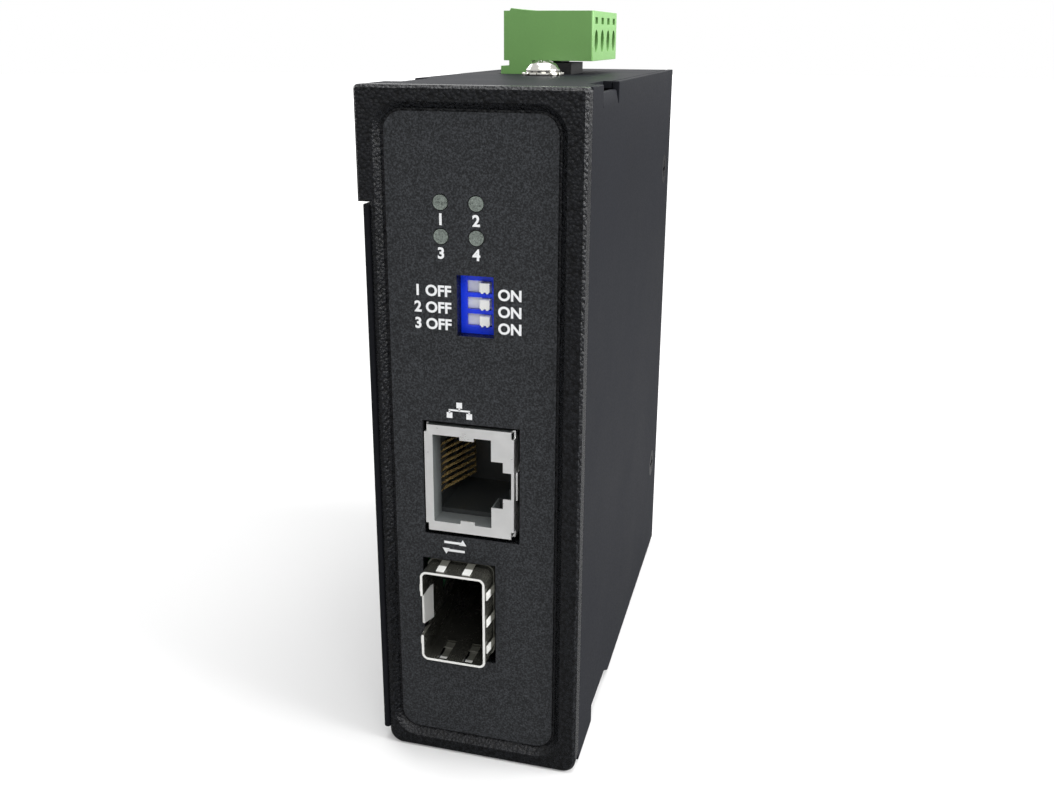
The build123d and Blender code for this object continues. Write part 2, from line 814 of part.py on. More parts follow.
# Transceiver cage: a folded sheet box with a latch tongue towards the board, and two slots
# in its floor over the earthing springs
with BuildPart() as cage:
    cage_front = front_y - cage_stand_out
    with BuildSketch(front_at(-cage_stand_out, cage_middle_x, cage_middle_z)):
        RectangleRounded(cage_width, cage_height, cage_radius)
    extrude(amount=-cage_length)
    with BuildSketch(front_at(-cage_stand_out, cage_middle_x, cage_middle_z)):
        RectangleRounded(
            cage_width - 2 * cage_sheet,
            cage_height - 2 * cage_sheet,
            cage_radius - cage_sheet,
        )
    extrude(amount=-(cage_length - cage_sheet), mode=Mode.SUBTRACT)
    with BuildSketch(side_at(cage_left)):
        with Locations((cage_front + latch_slot_length / 2, cage_middle_z)):
            Rectangle(latch_slot_length, latch_slot_width)
        connector_back = front_y + cage_back_setback - cage_sheet
        opening_length = connector_length + 2 * connector_clearance
        with Locations((connector_back - opening_length / 2, cage_middle_z)):
            Rectangle(opening_length, connector_height + 2 * connector_clearance)
    extrude(amount=cage_sheet, mode=Mode.SUBTRACT)
    with BuildSketch(Plane.XY.offset(cage_bottom)):
        slot_front = cage_front + floor_slot_rim
        slot_back = front_y + floor_slot_end_setback
        with Locations((cage_middle_x, (slot_front + slot_back) / 2)):
            with GridLocations(spring_pitch_end, 0, 2, 1):
                Rectangle(floor_slot_width, slot_back - slot_front)
    extrude(amount=cage_sheet, mode=Mode.SUBTRACT)
    with BuildSketch(Plane.XY.offset(cage_middle_z - latch_tongue_width / 2)):
        tongue_x = cage_left + cage_sheet / 2
        with BuildLine():
            FilletPolyline(
                (tongue_x, cage_front + latch_slot_length + cage_sheet),
                (tongue_x, cage_front + latch_ramp_start),
                (tongue_x - latch_ramp_rise, cage_front + latch_ramp_end),
                radius=cage_sheet,
            )
        trace(line_width=cage_sheet)
    extrude(amount=latch_tongue_width)
    with BuildSketch(side_at(cage_left)):
        with Locations((cage_front + latch_eye_setback, cage_middle_z)):
            RegularPolygon(latch_eye_radius, 3)
    extrude(amount=cage_sheet, mode=Mode.SUBTRACT)
save(cage.part, "cage")

# Ring of earthing springs round the cage, touching the edge of the bezel's window
with BuildPart() as cage_springs:
    inner_width = cage_width + 2 * spring_gap
    inner_height = cage_height + 2 * spring_gap
    with BuildSketch(front_at(spring_collar_setback, cage_middle_x, cage_middle_z)):
        RectangleRounded(
            inner_width + 2 * spring_sheet,
            inner_height + 2 * spring_sheet,
            cage_radius + spring_gap + spring_sheet,
        )
        RectangleRounded(inner_width, inner_height, cage_radius + spring_gap, mode=Mode.SUBTRACT)
        with Locations((-cage_width / 2, 0)):
            Rectangle(cage_radius, latch_slot_width, mode=Mode.SUBTRACT)
    extrude(amount=-spring_collar_length)
    root_y = front_y + spring_collar_setback + spring_sheet
    crest_y = front_y + spring_crest_setback
    tip_y = front_y - spring_tip_stand_out
    spring_lift = spring_gap + spring_sheet / 2
    side_places = [cage_middle_z + spring_pitch_side * place for place in (-1, 0, 1)]
    for side, wall_x in ((1, cage_right), (-1, cage_left)):
        for z in side_places:
            if side < 0 and abs(z - cage_middle_z) < latch_slot_width / 2:
                continue
            with BuildSketch(Plane.XY.offset(z - spring_width / 2)):
                with BuildLine():
                    Polyline(
                        (wall_x + side * spring_lift, root_y),
                        (wall_x + side * spring_bulge, crest_y),
                        (wall_x + side * spring_lift, tip_y),
                    )
                trace(line_width=spring_sheet)
            extrude(amount=spring_width)
    for side, wall_z in ((1, cage_top), (-1, cage_bottom)):
        for x in (cage_middle_x - spring_pitch_end / 2, cage_middle_x + spring_pitch_end / 2):
            with BuildSketch(side_at(x - spring_width / 2)):
                with BuildLine():
                    Polyline(
                        (root_y, wall_z + side * spring_lift),
                        (crest_y, wall_z + side * spring_bulge),
                        (tip_y, wall_z + side * spring_lift),
                    )
                trace(line_width=spring_sheet)
            extrude(amount=spring_width)
save(cage_springs.part, "cage_springs")

# Connector at the back of the cage, and its two rows of contacts
connector_front = cage_back_setback - cage_sheet - connector_clearance - connector_length
connector_middle_x = board_face_x + connector_width / 2
with BuildPart() as cage_connector:
    with BuildSketch(front_at(connector_front, connector_middle_x, cage_middle_z)):
        Rectangle(connector_width, connector_height)
    extrude(amount=-connector_length)
    with BuildSketch(front_at(connector_front, connector_middle_x, cage_middle_z)):
        Rectangle(connector_slot, connector_slot_height)
    extrude(amount=-connector_slot_depth, mode=Mode.SUBTRACT)
save(cage_connector.part, "cage_connector")

with BuildPart() as cage_contacts:
    row_spread = connector_slot - cage_contact_thickness
    with BuildSketch(front_at(connector_front, connector_middle_x, cage_middle_z)):
        with GridLocations(row_spread, cage_contact_pitch, 2, cage_contact_count):
            Rectangle(cage_contact_thickness, cage_contact_width)
    extrude(amount=-cage_contact_length)
save(cage_contacts.part, "cage_contacts")

# Switch body: a thin skin with three slots over pockets that the sliders run in
with BuildPart() as switch_body:
    with BuildSketch(front_at(switch_setback, switch_middle_x, switch_middle_z)):
        Rectangle(switch_width, switch_height)
    extrude(amount=-switch_length)
    slot_middle = (switch_slot_left + switch_slot_right) / 2
    slot_width = switch_slot_right - switch_slot_left
    with BuildSketch(front_at(switch_setback, switch_middle_x)):
        for z in slot_heights:
            with Locations((slot_middle, z)):
                Rectangle(slot_width, switch_slot_height)
    extrude(amount=-switch_skin, mode=Mode.SUBTRACT)
    pocket_left = switch_slot_left - slider_travel - switch_pocket_margin
    pocket_right = switch_slot_right + switch_pocket_margin
    with BuildSketch(front_at(switch_setback + switch_skin, switch_middle_x)):
        for z in slot_heights:
            with Locations(((pocket_left + pocket_right) / 2, z)):
                Rectangle(pocket_right - pocket_left, switch_slot_height + 2 * slider_gap)
    extrude(amount=-switch_pocket_depth, mode=Mode.SUBTRACT)
save(switch_body.part, "switch_body")

# Three sliders, each a plate in its pocket with a grooved nub through the slot
for place, z in enumerate(slot_heights):
    with BuildPart() as switch_slider:
        plate_setback = switch_setback + switch_skin + (switch_pocket_depth - slider_plate_thickness) / 2
        plate_left = switch_slot_left - slider_plate_margin
        plate_right = switch_slot_right + slider_plate_margin
        plate_x = switch_middle_x + (plate_left + plate_right) / 2
        with BuildSketch(front_at(plate_setback, plate_x, z)):
            Rectangle(plate_right - plate_left, switch_slot_height)
        extrude(amount=-slider_plate_thickness)
        nub_x = switch_middle_x + switch_slot_right - slider_gap - slider_nub_width / 2
        nub_length = plate_setback - switch_setback + slider_nub_rise
        with BuildSketch(front_at(switch_setback - slider_nub_rise, nub_x, z)):
            Rectangle(slider_nub_width, switch_slot_height - 2 * slider_gap)
            for groove_x in (0, -slider_nub_width / 2, slider_nub_width / 2):
                with Locations((groove_x, -switch_slot_height / 2 + slider_gap)):
                    Circle(slider_groove, mode=Mode.SUBTRACT)
        extrude(amount=-nub_length)
    save(switch_slider.part, f"switch_slider_{place + 1}")

# Status lights: four short light pipes in front of four chips
light_chip_setback = front_board_setback - light_chip_length
for place, (x, z) in enumerate(light_places):
    with BuildPart() as light_pipe:
        with BuildSketch(front_at(light_setback, x, z)):
            Circle(light_radius)
        extrude(amount=-(light_chip_setback - light_chip_gap - light_setback))
    save(light_pipe.part, f"light_pipe_{place + 1}")

with BuildPart() as light_chips:
    with BuildSketch(front_at(light_chip_setback)):
        with Locations(*light_places):
            Rectangle(light_chip_width, light_chip_height)
    extrude(amount=-light_chip_length)
save(light_chips.part, "light_chips")


def add_pins(clearance, mode):
    """The header's bent pins, or with a clearance the holes that they need."""
    size = pin_size + 2 * clearance
    for y in pole_places:
        with BuildSketch(Plane.XY.offset(pin_low_z - size / 2)) as upright:
            with Locations((pin_x, y)):
                Rectangle(size, size)
        extrude(upright.sketch, amount=pin_height + size / 2, mode=mode)
        leg_left = board_back_x - pin_overhang
        with BuildSketch(side_at(leg_left)) as leg:
            with Locations((y, pin_low_z)):
                Rectangle(size, size)
        extrude(leg.sketch, amount=pin_x - leg_left, mode=mode)


# Header of the terminal plug, standing on the main board under the top's opening, with a
# block at its front end that rises through the opening and carries the plug
with BuildPart() as terminal_header:
    shoulder_z = body_height - sheet - header_shoulder_gap
    with BuildSketch(front_at(header_front_setback)):
        with BuildLine():
            Polyline(
                (board_face_x, header_bottom),
                (board_face_x, body_height - header_left_top),
                (cavity_right, body_height - header_left_top),
                (cavity_right, header_top),
                (header_wall_right, header_top),
                (header_wall_right, shoulder_z),
                (header_right, shoulder_z),
                (header_right, header_bottom),
                close=True,
            )
        make_face()
    extrude(amount=-header_length)
    block_middle = ((cavity_right + header_right) / 2, (shoulder_z + header_top) / 2)
    with BuildSketch(front_at(header_front_setback, *block_middle)):
        Rectangle(header_right - cavity_right, header_top - shoulder_z)
    extrude(amount=-header_block_length)
    with BuildSketch(Plane.XY.offset(header_top)):
        cavity_length = plug_length - 2 * tongue_end_inset + 2 * tongue_gap
        with Locations(((cavity_left + cavity_right) / 2, plug_middle_y)):
            Rectangle(cavity_right - cavity_left, cavity_length)
    extrude(amount=-(tongue_depth + tongue_gap), mode=Mode.SUBTRACT)
    add_pins(pin_clearance, Mode.SUBTRACT)
save(terminal_header.part, "terminal_header")

with BuildPart() as header_pins:
    add_pins(0, Mode.ADD)
save(header_pins.part, "header_pins")

# Terminal plug: body with a hump, a foot that hangs over the header, and a tongue
with BuildPart() as terminal_plug:
    foot_z = plug_bottom - foot_top
    with BuildSketch(front_at(plug_front_setback)):
        with BuildLine():
            Polyline(
                (plug_left + plug_hump_end, plug_top),
                (plug_right, plug_top),
                (plug_right, plug_bottom),
                (tongue_right, plug_bottom),
                (tongue_right, foot_z - foot_height),
                (plug_left - foot_reach + foot_chamfer, foot_z - foot_height),
                (plug_left - foot_reach, foot_z - foot_height + foot_chamfer),
                (plug_left - foot_reach, foot_z),
                (plug_left + neck_inset, foot_z),
                (plug_left + neck_inset, plug_bottom),
                (plug_left, plug_bottom),
                (plug_left, plug_top),
                (plug_left + plug_hump_start, plug_top),
                (plug_left + plug_hump_peak, plug_top + plug_hump),
            )
            ThreePointArc(
                (plug_left + plug_hump_peak, plug_top + plug_hump),
                ((2 * plug_left + plug_hump_peak + plug_hump_end) / 2, plug_top + plug_hump / 3),
                (plug_left + plug_hump_end, plug_top),
            )
        make_face()
    extrude(amount=-plug_length)
    corner_edges = terminal_plug.edges().filter_by(Axis.Z).group_by(Axis.X)[-1]
    fillet(corner_edges, radius=plug_corner)
    with BuildSketch(Plane.XY.offset(foot_z)):
        with Locations((pin_x, plug_middle_y)):
            Rectangle(tongue_width, plug_length - 2 * tongue_end_inset)
    extrude(amount=-(tongue_depth - foot_top))
    with BuildSketch(Plane.XY.offset(plug_bottom - tongue_depth)):
        for y in pole_places:
            with Locations((pin_x, y)):
                Rectangle(socket_size, socket_size)
    extrude(amount=tongue_depth - foot_top, mode=Mode.SUBTRACT)
    with BuildSketch(side_at(plug_right)):
        for y in pole_places:
            with Locations((y, plug_top - entry_drop)):
                Ellipse(entry_width / 2, entry_height / 2)
    extrude(amount=-entry_length, mode=Mode.SUBTRACT)
    with BuildSketch(side_at(plug_right)):
        for y in pole_places:
            with Locations((y, plug_top - release_drop)):
                Rectangle(release_width, release_height)
    extrude(amount=-release_length, mode=Mode.SUBTRACT)
save(terminal_plug.part, "terminal_plug")

# Wire clamps at the inner ends of the plug's four wire entries
with BuildPart() as plug_clamps:
    with BuildSketch(side_at(plug_right - entry_length + clamp_gap)):
        for y in pole_places:
            with Locations((y, plug_top - entry_drop)):
                Rectangle(clamp_width, clamp_height)
                Rectangle(clamp_bore, clamp_bore, mode=Mode.SUBTRACT)
    extrude(amount=clamp_length)
save(plug_clamps.part, "plug_clamps")

# Ground screw on top, its toothed washer, and the nut under the sheet
with BuildPart() as ground_washer:
    with BuildSketch(Plane.XY.offset(body_height)):
        with Locations((ground_x, ground_y)):
            Circle(ground_washer_radius)
            Circle(thread_radius + 2 * thread_clearance, mode=Mode.SUBTRACT)
            with PolarLocations(ground_washer_radius, ground_teeth):
                Rectangle(2 * ground_tooth_depth, ground_tooth_gap, mode=Mode.SUBTRACT)
    extrude(amount=ground_washer_thickness)
save(ground_washer.part, "ground_washer")

with BuildPart() as pan_screw:
    with BuildSketch(Plane.XZ):
        with BuildLine():
            Polyline(
                (0, 0),
                (ground_head_radius * 0.4, 0),
                (ground_head_radius * 0.78, -ground_head_height * 0.3),
                (ground_head_radius, -ground_head_height * 0.75),
                (ground_head_radius, -ground_head_height),
                (thread_radius, -ground_head_height),
                (thread_radius, -ground_head_height - ground_length),
                (0, -ground_head_height - ground_length),
                (0, 0),
            )
        make_face()
    revolve(axis=Axis.Z)
    cross_drive(ground_head_radius * 1.2)
with BuildPart() as ground_screw:
    head_z = body_height + ground_washer_thickness + ground_head_height
    with Locations((ground_x, ground_y, head_z)):
        add(pan_screw.part)
save(ground_screw.part, "ground_screw")

with BuildPart() as ground_nut:
    with BuildSketch(Plane.XY.offset(body_height - sheet)):
        with Locations((ground_x, ground_y)):
            RegularPolygon(nut_across / 2, 6, major_radius=False)
            Circle(thread_radius + thread_clearance, mode=Mode.SUBTRACT)
    extrude(amount=-nut_thickness)
save(ground_nut.part, "ground_nut")

# Rail clip plate: two hooks over the rail and a channel for the latch
with BuildPart() as clip_plate:
    clip_top = rail_top + clip_top_margin
    with BuildSketch(front_at(body_depth, 0, (clip_top + rail_bottom) / 2)):
        RectangleRounded(clip_width, clip_top - rail_bottom, clip_radius)
    extrude(amount=-clip_thickness)
    channel_top = latch_top_z + channel_top_margin - latch_travel
    with BuildSketch(front_at(body_depth, 0, (channel_top + rail_bottom) / 2)):
        Rectangle(2 * channel_half, channel_top - rail_bottom)
    extrude(amount=-channel_depth, mode=Mode.SUBTRACT)
    seat_z = spring_window_bottom + spring_seat_gap
    with BuildSketch(front_at(body_depth + latch_face_gap, 0, seat_z + spring_seat_height / 2)):
        Rectangle(2 * (spring_window_half - latch_gap), spring_seat_height)
    extrude(amount=-(channel_depth - latch_face_gap))
    hook_z = rail_top + latch_gap
    for x in (-(clip_width - hook_width) / 2, (clip_width - hook_width) / 2):
        with BuildSketch(side_at(x - hook_width / 2)):
            with BuildLine():
                FilletPolyline(
                    (clip_back - sheet, hook_z + hook_height / 2),
                    (rail_back + hook_wall / 2, hook_z + hook_height / 2),
                    (rail_back + hook_wall / 2, rail_top - hook_drop),
                    radius=hook_height / 2,
                )
            trace(line_width=hook_wall)
        extrude(amount=hook_width)
    for x, z in clip_screw_places:
        with Locations(out_of(x, clip_back, z, (0, 1, 0))):
            CounterSinkHole(
                thread_radius + thread_clearance,
                flat_head_radius + flat_head_sink,
                depth=clip_thickness,
                counter_sink_angle=90,
            )
save(clip_plate.part, "clip_plate")

# Rail clip latch: a slide with a lip under the rail, a pull slot and a spring window
with BuildPart() as clip_latch:
    latch_half = channel_half - latch_gap
    latch_thickness = channel_depth - 2 * latch_face_gap
    with BuildSketch(front_at(body_depth + latch_face_gap)):
        with Locations((0, (latch_bottom_z + latch_top_z) / 2)):
            RectangleRounded(2 * latch_half, latch_top_z - latch_bottom_z, latch_radius)
        with Locations((0, latch_bottom_z + pull_slot_margin)):
            SlotOverall(pull_slot_width, pull_slot_height, mode=Mode.SUBTRACT)
        with Locations((0, (spring_window_bottom + spring_window_top) / 2)):
            Rectangle(
                2 * spring_window_half,
                spring_window_top - spring_window_bottom,
                mode=Mode.SUBTRACT,
            )
    extrude(amount=-latch_thickness)
    heel_top = rail_bottom - latch_gap
    with BuildSketch(side_at(-latch_half)):
        with BuildLine():
            Polyline(
                (back_y + latch_thickness, heel_top - latch_heel),
                (back_y + latch_thickness, heel_top),
                (rail_back, heel_top),
                (rail_back, heel_top + latch_lip),
                (rail_back + hook_wall / 2, heel_top + latch_lip),
                (rail_back + hook_wall, heel_top),
                (rail_back + hook_wall, heel_top - latch_heel / 2),
                close=True,
            )
        make_face()
    extrude(amount=2 * latch_half)
save(clip_latch.part, "clip_latch")

# Folded leaf spring in the latch's window, from the plate's seat to the window's top
with BuildPart() as clip_spring:
    spring_low = spring_window_bottom + spring_seat_gap + spring_seat_height
    fold_rise = (spring_window_top - spring_low - leaf_thickness) / (2 * leaf_folds)
    fold_reach = spring_window_half - latch_gap - leaf_thickness / 2
    fold_points = [
        (fold_reach * (-1) ** fold, spring_low + leaf_thickness / 2 + fold_rise * fold)
        for fold in range(2 * leaf_folds + 1)
    ]
    with BuildSketch(front_at(body_depth + (channel_depth - leaf_width) / 2)):
        with BuildLine():
            Polyline(*fold_points)
        trace(line_width=leaf_thickness)
        with Locations((0, (spring_low + spring_window_top) / 2)):
            Rectangle(
                2 * (fold_reach + leaf_thickness),
                spring_window_top - spring_low,
                mode=Mode.INTERSECT,
            )
    extrude(amount=-leaf_width)
save(clip_spring.part, "clip_spring")

with BuildPart() as clip_screws:
    for x, z in clip_screw_places:
        with Locations(out_of(x, clip_back - flat_head_sink, z, (0, 1, 0))):
            add(flat_screw)
save(clip_screws.part, "clip_screws")


def near_front(place):
    """A place on the board's face, from the front and above the case's middle height."""
    return (front_y + place[0], middle_z + place[1])


def near_back(place):
    """A place on the board's face, from the back and above the case's middle height."""
    return (back_y - place[0], middle_z + place[1])


def below_header(place):
    """A place on the board's face, from the plug's middle and below the header."""
    return (plug_middle_y + place[0], header_bottom - place[1])


# Parts on the main board's face: chips and small parts, each by its length, width and height
transformer_y = front_y + jack_setback + jack_length + transformer_gap + transformer_width / 2
board_boxes = {
    "controller_chip": ([near_front(chip_place)], chip_size, chip_size, chip_height),
    "network_transformer": (
        [(transformer_y, jack_middle_z)],
        transformer_length,
        transformer_width,
        transformer_height,
    ),
    "crystal": ([near_front(crystal_place)], crystal_length, crystal_width, crystal_height),
    "input_diodes": (
        [below_header(place) for place in diode_places],
        diode_length,
        diode_width,
        diode_height,
    ),
    "fuse": ([below_header(fuse_place)], fuse_length, fuse_width, fuse_height),
}
for name, (places, length, width, height) in board_boxes.items():
    with BuildPart() as board_box:
        with BuildSketch(side_at(board_face_x)):
            with Locations(*places):
                Rectangle(width, length)
        extrude(amount=height)
        chamfer(board_box.faces().sort_by(Axis.X)[-1].edges(), length=box_chamfer)
    save(board_box.part, name)

# Power inductor: a rounded block
with BuildPart() as power_inductor:
    with BuildSketch(side_at(board_face_x)):
        with Locations(below_header(inductor_place)):
            RectangleRounded(inductor_size, inductor_size, inductor_corner)
    extrude(amount=inductor_height)
save(power_inductor.part, "power_inductor")

# Capacitors: round cans on square bases
with BuildPart() as capacitors:
    can_places = [near_back(place) for place in capacitor_places]
    with BuildSketch(side_at(board_face_x)):
        with Locations(*can_places):
            Rectangle(capacitor_base, capacitor_base)
    extrude(amount=capacitor_base_height)
    with BuildSketch(side_at(board_face_x + capacitor_base_height)):
        with Locations(*can_places):
            Circle(capacitor_radius)
    extrude(amount=capacitor_height - capacitor_base_height)
save(capacitors.part, "capacitors")
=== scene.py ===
"""Studio scene of a fibre media converter, laid out as an add-on and run as a script.

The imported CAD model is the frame. Each operator dresses one piece, or a group of like
pieces: it makes a clean, bevelled copy of the CAD shape or a new shape, gives it a
node-based finish and lets it ride on its body. Lengths are in metres.
"""

import json
from math import cos, pi, radians, sin

import bmesh
import bpy
from bpy.props import FloatProperty, FloatVectorProperty, PointerProperty
from mathutils import Matrix, Vector


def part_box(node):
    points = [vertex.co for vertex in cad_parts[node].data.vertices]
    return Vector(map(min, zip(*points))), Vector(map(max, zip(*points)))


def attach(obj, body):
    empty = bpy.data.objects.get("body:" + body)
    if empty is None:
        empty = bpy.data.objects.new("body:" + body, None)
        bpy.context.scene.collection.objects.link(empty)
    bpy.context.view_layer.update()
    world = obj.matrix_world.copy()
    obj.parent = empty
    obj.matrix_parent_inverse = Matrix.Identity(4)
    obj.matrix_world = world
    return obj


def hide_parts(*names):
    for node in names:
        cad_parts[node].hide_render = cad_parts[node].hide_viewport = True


bl_info = {
    "name": "Fibre Media Converter",
    "version": (1, 0, 0),
    "blender": (4, 5, 0),
    "location": "View3D > Sidebar > Converter",
    "description": "Dresses the CAD frame of a rail-mounted fibre media converter",
    "category": "Object",
}

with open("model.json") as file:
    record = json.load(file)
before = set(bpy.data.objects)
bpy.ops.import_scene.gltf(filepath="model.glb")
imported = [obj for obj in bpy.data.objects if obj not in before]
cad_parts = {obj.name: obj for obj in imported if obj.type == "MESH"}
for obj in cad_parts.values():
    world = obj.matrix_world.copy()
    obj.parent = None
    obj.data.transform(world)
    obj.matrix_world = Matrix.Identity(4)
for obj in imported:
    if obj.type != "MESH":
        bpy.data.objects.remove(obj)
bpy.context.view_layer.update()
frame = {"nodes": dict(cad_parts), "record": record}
body_of_node = {
    node: body for body, nodes in frame["record"]["behaviour"]["bodies"].items() for node in nodes
}

MM = 0.001
# Vertices of the CAD mesh closer than this are merged, and edges flatter than this are dissolved
MERGE_DISTANCE = 0.2e-6
FLAT_ANGLE = radians(0.5)
# Edges sharper than this are rounded, in this many steps, and shaded as edges
SHARP_ANGLE = radians(30)
EDGE_STEPS = 2
# Thickness of the ink, and the middle of its layer on the film's front face
PRINT_DEPTH = 0.008 * MM
PRINT_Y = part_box("front_overlay")[0][1] - PRINT_DEPTH / 2
# Text size that gives capitals of one unit, and how far their strokes are thickened
CAPITAL_SCALE = 1.38
STROKE_GROWTH = 0.045
# Places of the signs: numbers below the lights, and words beside the switch, at its left side and
# past its right side, a little below the middle of each slider
NUMBER_DROP = 1.3 * MM
WORD_LEFT_INSET = 1.0 * MM
WORD_RIGHT_GAP = 0.3 * MM
WORD_DROP = 0.5 * MM
# Places of the port symbols: from the port's left edge, and above its top
NETWORK_SIGN_ACROSS, NETWORK_SIGN_RISE = 5.3 * MM, 2.5 * MM
EXCHANGE_SIGN_ACROSS, EXCHANGE_SIGN_RISE = 5.0 * MM, 2.9 * MM
# Depth of the cage's rim with its painted highlight, and of the springs' pads with theirs, from the
# cage's front
RIM_DEPTH = 0.2 * MM
PAD_DEPTH = 1.7 * MM
# How far behind the jack's face its painted shade begins, and the width of the sides left unshaded
JACK_FACE_DEPTH = 0.35 * MM
JACK_SIDE_WIDTH = 0.9 * MM
# Floor: its radius, the distances from the middle between which its glow grows, and the glow there
FLOOR_RADIUS = 3.0
GLOW_FROM, GLOW_TO = 0.2, 1.0
GLOW_NEAR, GLOW_FAR = 0.14, 1.3
# Lamps: name, the setting of its power, where it stands, its two sizes and what it faces
LAMPS = (
    ("lamp_right", "key_power", (0.52, -0.02, 0.26), 0.35, 0.5, (0.0, 0.0, 0.05)),
    ("lamp_top", "top_power", (0.05, 0.02, 0.62), 0.5, 0.5, (0.0, 0.0, 0.05)),
    ("lamp_front", "front_power", (0.12, -0.31, 0.31), 0.2, 0.2, (0.0, 0.0, 0.08)),
    ("lamp_back", "back_power", (-0.62, 0.36, 0.38), 0.4, 0.4, (0.0, 0.0, 0.05)),
)
# Camera: where it stands, its turns in radians, its shift, its sensor's width in millimetres and
# the nearest distance that it sees
CAMERA_PLACE = (0.041602, -0.165129, 0.104885)
CAMERA_YAW, CAMERA_PITCH, CAMERA_ROLL = 0.261, 0.298, 0.005
CAMERA_SHIFT = -0.0408
SENSOR_WIDTH = 36.0
NEAREST = 0.01
# Colours of the small pieces that have no setting of their own
BLACKENED_STEEL = (0.03, 0.03, 0.034)
INSERT_BLACK = (0.028, 0.031, 0.031)
CHIP_BLACK = (0.012, 0.012, 0.013)
SCREW_ZINC = (0.58, 0.57, 0.53)
STANDOFF_BRASS = (0.7, 0.5, 0.2)
FERRITE_GREY = (0.05, 0.05, 0.055)
CAN_ALUMINIUM = (0.75, 0.75, 0.76)
CRYSTAL_CAN = (0.7, 0.69, 0.64)
FUSE_WHITE = (0.7, 0.7, 0.66)
BOARD_GREEN = (0.012, 0.09, 0.035)
TRACK_GREEN = (0.03, 0.2, 0.07)


class CoatingSettings(bpy.types.PropertyGroup):
    """Colours and grain of the bezel, its printed film and the painted case."""

    bezel_color: FloatVectorProperty(
        name="Bezel",
        description="Colour of the moulded bezel",
        subtype="COLOR",
        size=3,
        min=0.0,
        max=1.0,
        default=(0.0055, 0.006, 0.0072),
    )
    bezel_grain: FloatProperty(
        name="Bezel grain",
        description="Width of one pebble of the bezel's moulded grain",
        subtype="DISTANCE",
        default=0.42 * MM,
        min=0.05 * MM,
    )
    bezel_grain_depth: FloatProperty(
        name="Grain depth",
        description="Height of the bezel's moulded grain",
        subtype="DISTANCE",
        default=0.15 * MM,
    )
    film_color: FloatVectorProperty(
        name="Film",
        description="Colour of the printed film in the bezel's recess",
        subtype="COLOR",
        size=3,
        min=0.0,
        max=1.0,
        default=(0.021, 0.0225, 0.025),
    )
    film_grain: FloatProperty(
        name="Film grain",
        description="Width of the film's fine texture",
        subtype="DISTANCE",
        default=0.24 * MM,
        min=0.02 * MM,
    )
    paint_color: FloatVectorProperty(
        name="Paint",
        description="Colour of the case's powder coat",
        subtype="COLOR",
        size=3,
        min=0.0,
        max=1.0,
        default=(0.0105, 0.0112, 0.0138),
    )
    paint_grain: FloatProperty(
        name="Paint grain",
        description="Width of the powder coat's orange peel",
        subtype="DISTANCE",
        default=0.3 * MM,
        min=0.02 * MM,
    )


class MetalSettings(bpy.types.PropertyGroup):
    """Colours of the plated and bare metal pieces, with the painted shade and painted highlight of
    the jack and the cage.
    """

    nickel_color: FloatVectorProperty(
        name="Nickel",
        description="Colour of the nickel plate on the jack and the cage",
        subtype="COLOR",
        size=3,
        min=0.0,
        max=1.0,
        default=(0.97, 0.97, 0.96),
    )
    # Painted shade: a darker nickel for the inside of the jack's mouth, standing for the shade
    # there
    inside_color: FloatVectorProperty(
        name="Jack inside",
        description="Colour of the shaded nickel inside the jack's mouth",
        subtype="COLOR",
        size=3,
        min=0.0,
        max=1.0,
        default=(0.2, 0.215, 0.215),
    )
    # Painted shade: this dark colour of the cage's sheet, and of the springs behind their pads,
    # stands for shade in the cage
    cage_color: FloatVectorProperty(
        name="Cage",
        description="Colour of the transceiver cage's dulled sheet",
        subtype="COLOR",
        size=3,
        min=0.0,
        max=1.0,
        default=(0.14, 0.14, 0.12),
    )
    # Bright plating and painted highlight: this colour lights the cage's rim, its left faces and
    # the springs' front pads
    edge_color: FloatVectorProperty(
        name="Bright metal",
        description="Colour of cut edges and of the earthing springs",
        subtype="COLOR",
        size=3,
        min=0.0,
        max=1.0,
        default=(0.95, 0.95, 0.92),
    )
    steel_color: FloatVectorProperty(
        name="Steel",
        description="Colour of screws, washers and springs",
        subtype="COLOR",
        size=3,
        min=0.0,
        max=1.0,
        default=(0.72, 0.71, 0.67),
    )
    gold_color: FloatVectorProperty(
        name="Gold",
        description="Colour of the contacts' plating",
        subtype="COLOR",
        size=3,
        min=0.0,
        max=1.0,
        default=(0.95, 0.68, 0.27),
    )


class PlasticSettings(bpy.types.PropertyGroup):
    """Colours of the moulded plastic pieces."""

    plug_color: FloatVectorProperty(
        name="Terminal plug",
        description="Green of the terminal plug",
        subtype="COLOR",
        size=3,
        min=0.0,
        max=1.0,
        default=(0.14, 0.31, 0.088),
    )
    switch_color: FloatVectorProperty(
        name="Switch",
        description="Blue of the switch body",
        subtype="COLOR",
        size=3,
        min=0.0,
        max=1.0,
        default=(0.006, 0.05, 1.0),
    )
    slider_color: FloatVectorProperty(
        name="Sliders",
        description="White of the switch sliders",
        subtype="COLOR",
        size=3,
        min=0.0,
        max=1.0,
        default=(0.9, 0.91, 0.9),
    )
    light_color: FloatVectorProperty(
        name="Light pipes",
        description="Grey of the unlit, frosted light pipes",
        subtype="COLOR",
        size=3,
        min=0.0,
        max=1.0,
        default=(0.125, 0.145, 0.13),
    )
    black_color: FloatVectorProperty(
        name="Black mouldings",
        description="Colour of the connector block, the header and the rail clip",
        subtype="COLOR",
        size=3,
        min=0.0,
        max=1.0,
        default=(0.009, 0.009, 0.01),
    )


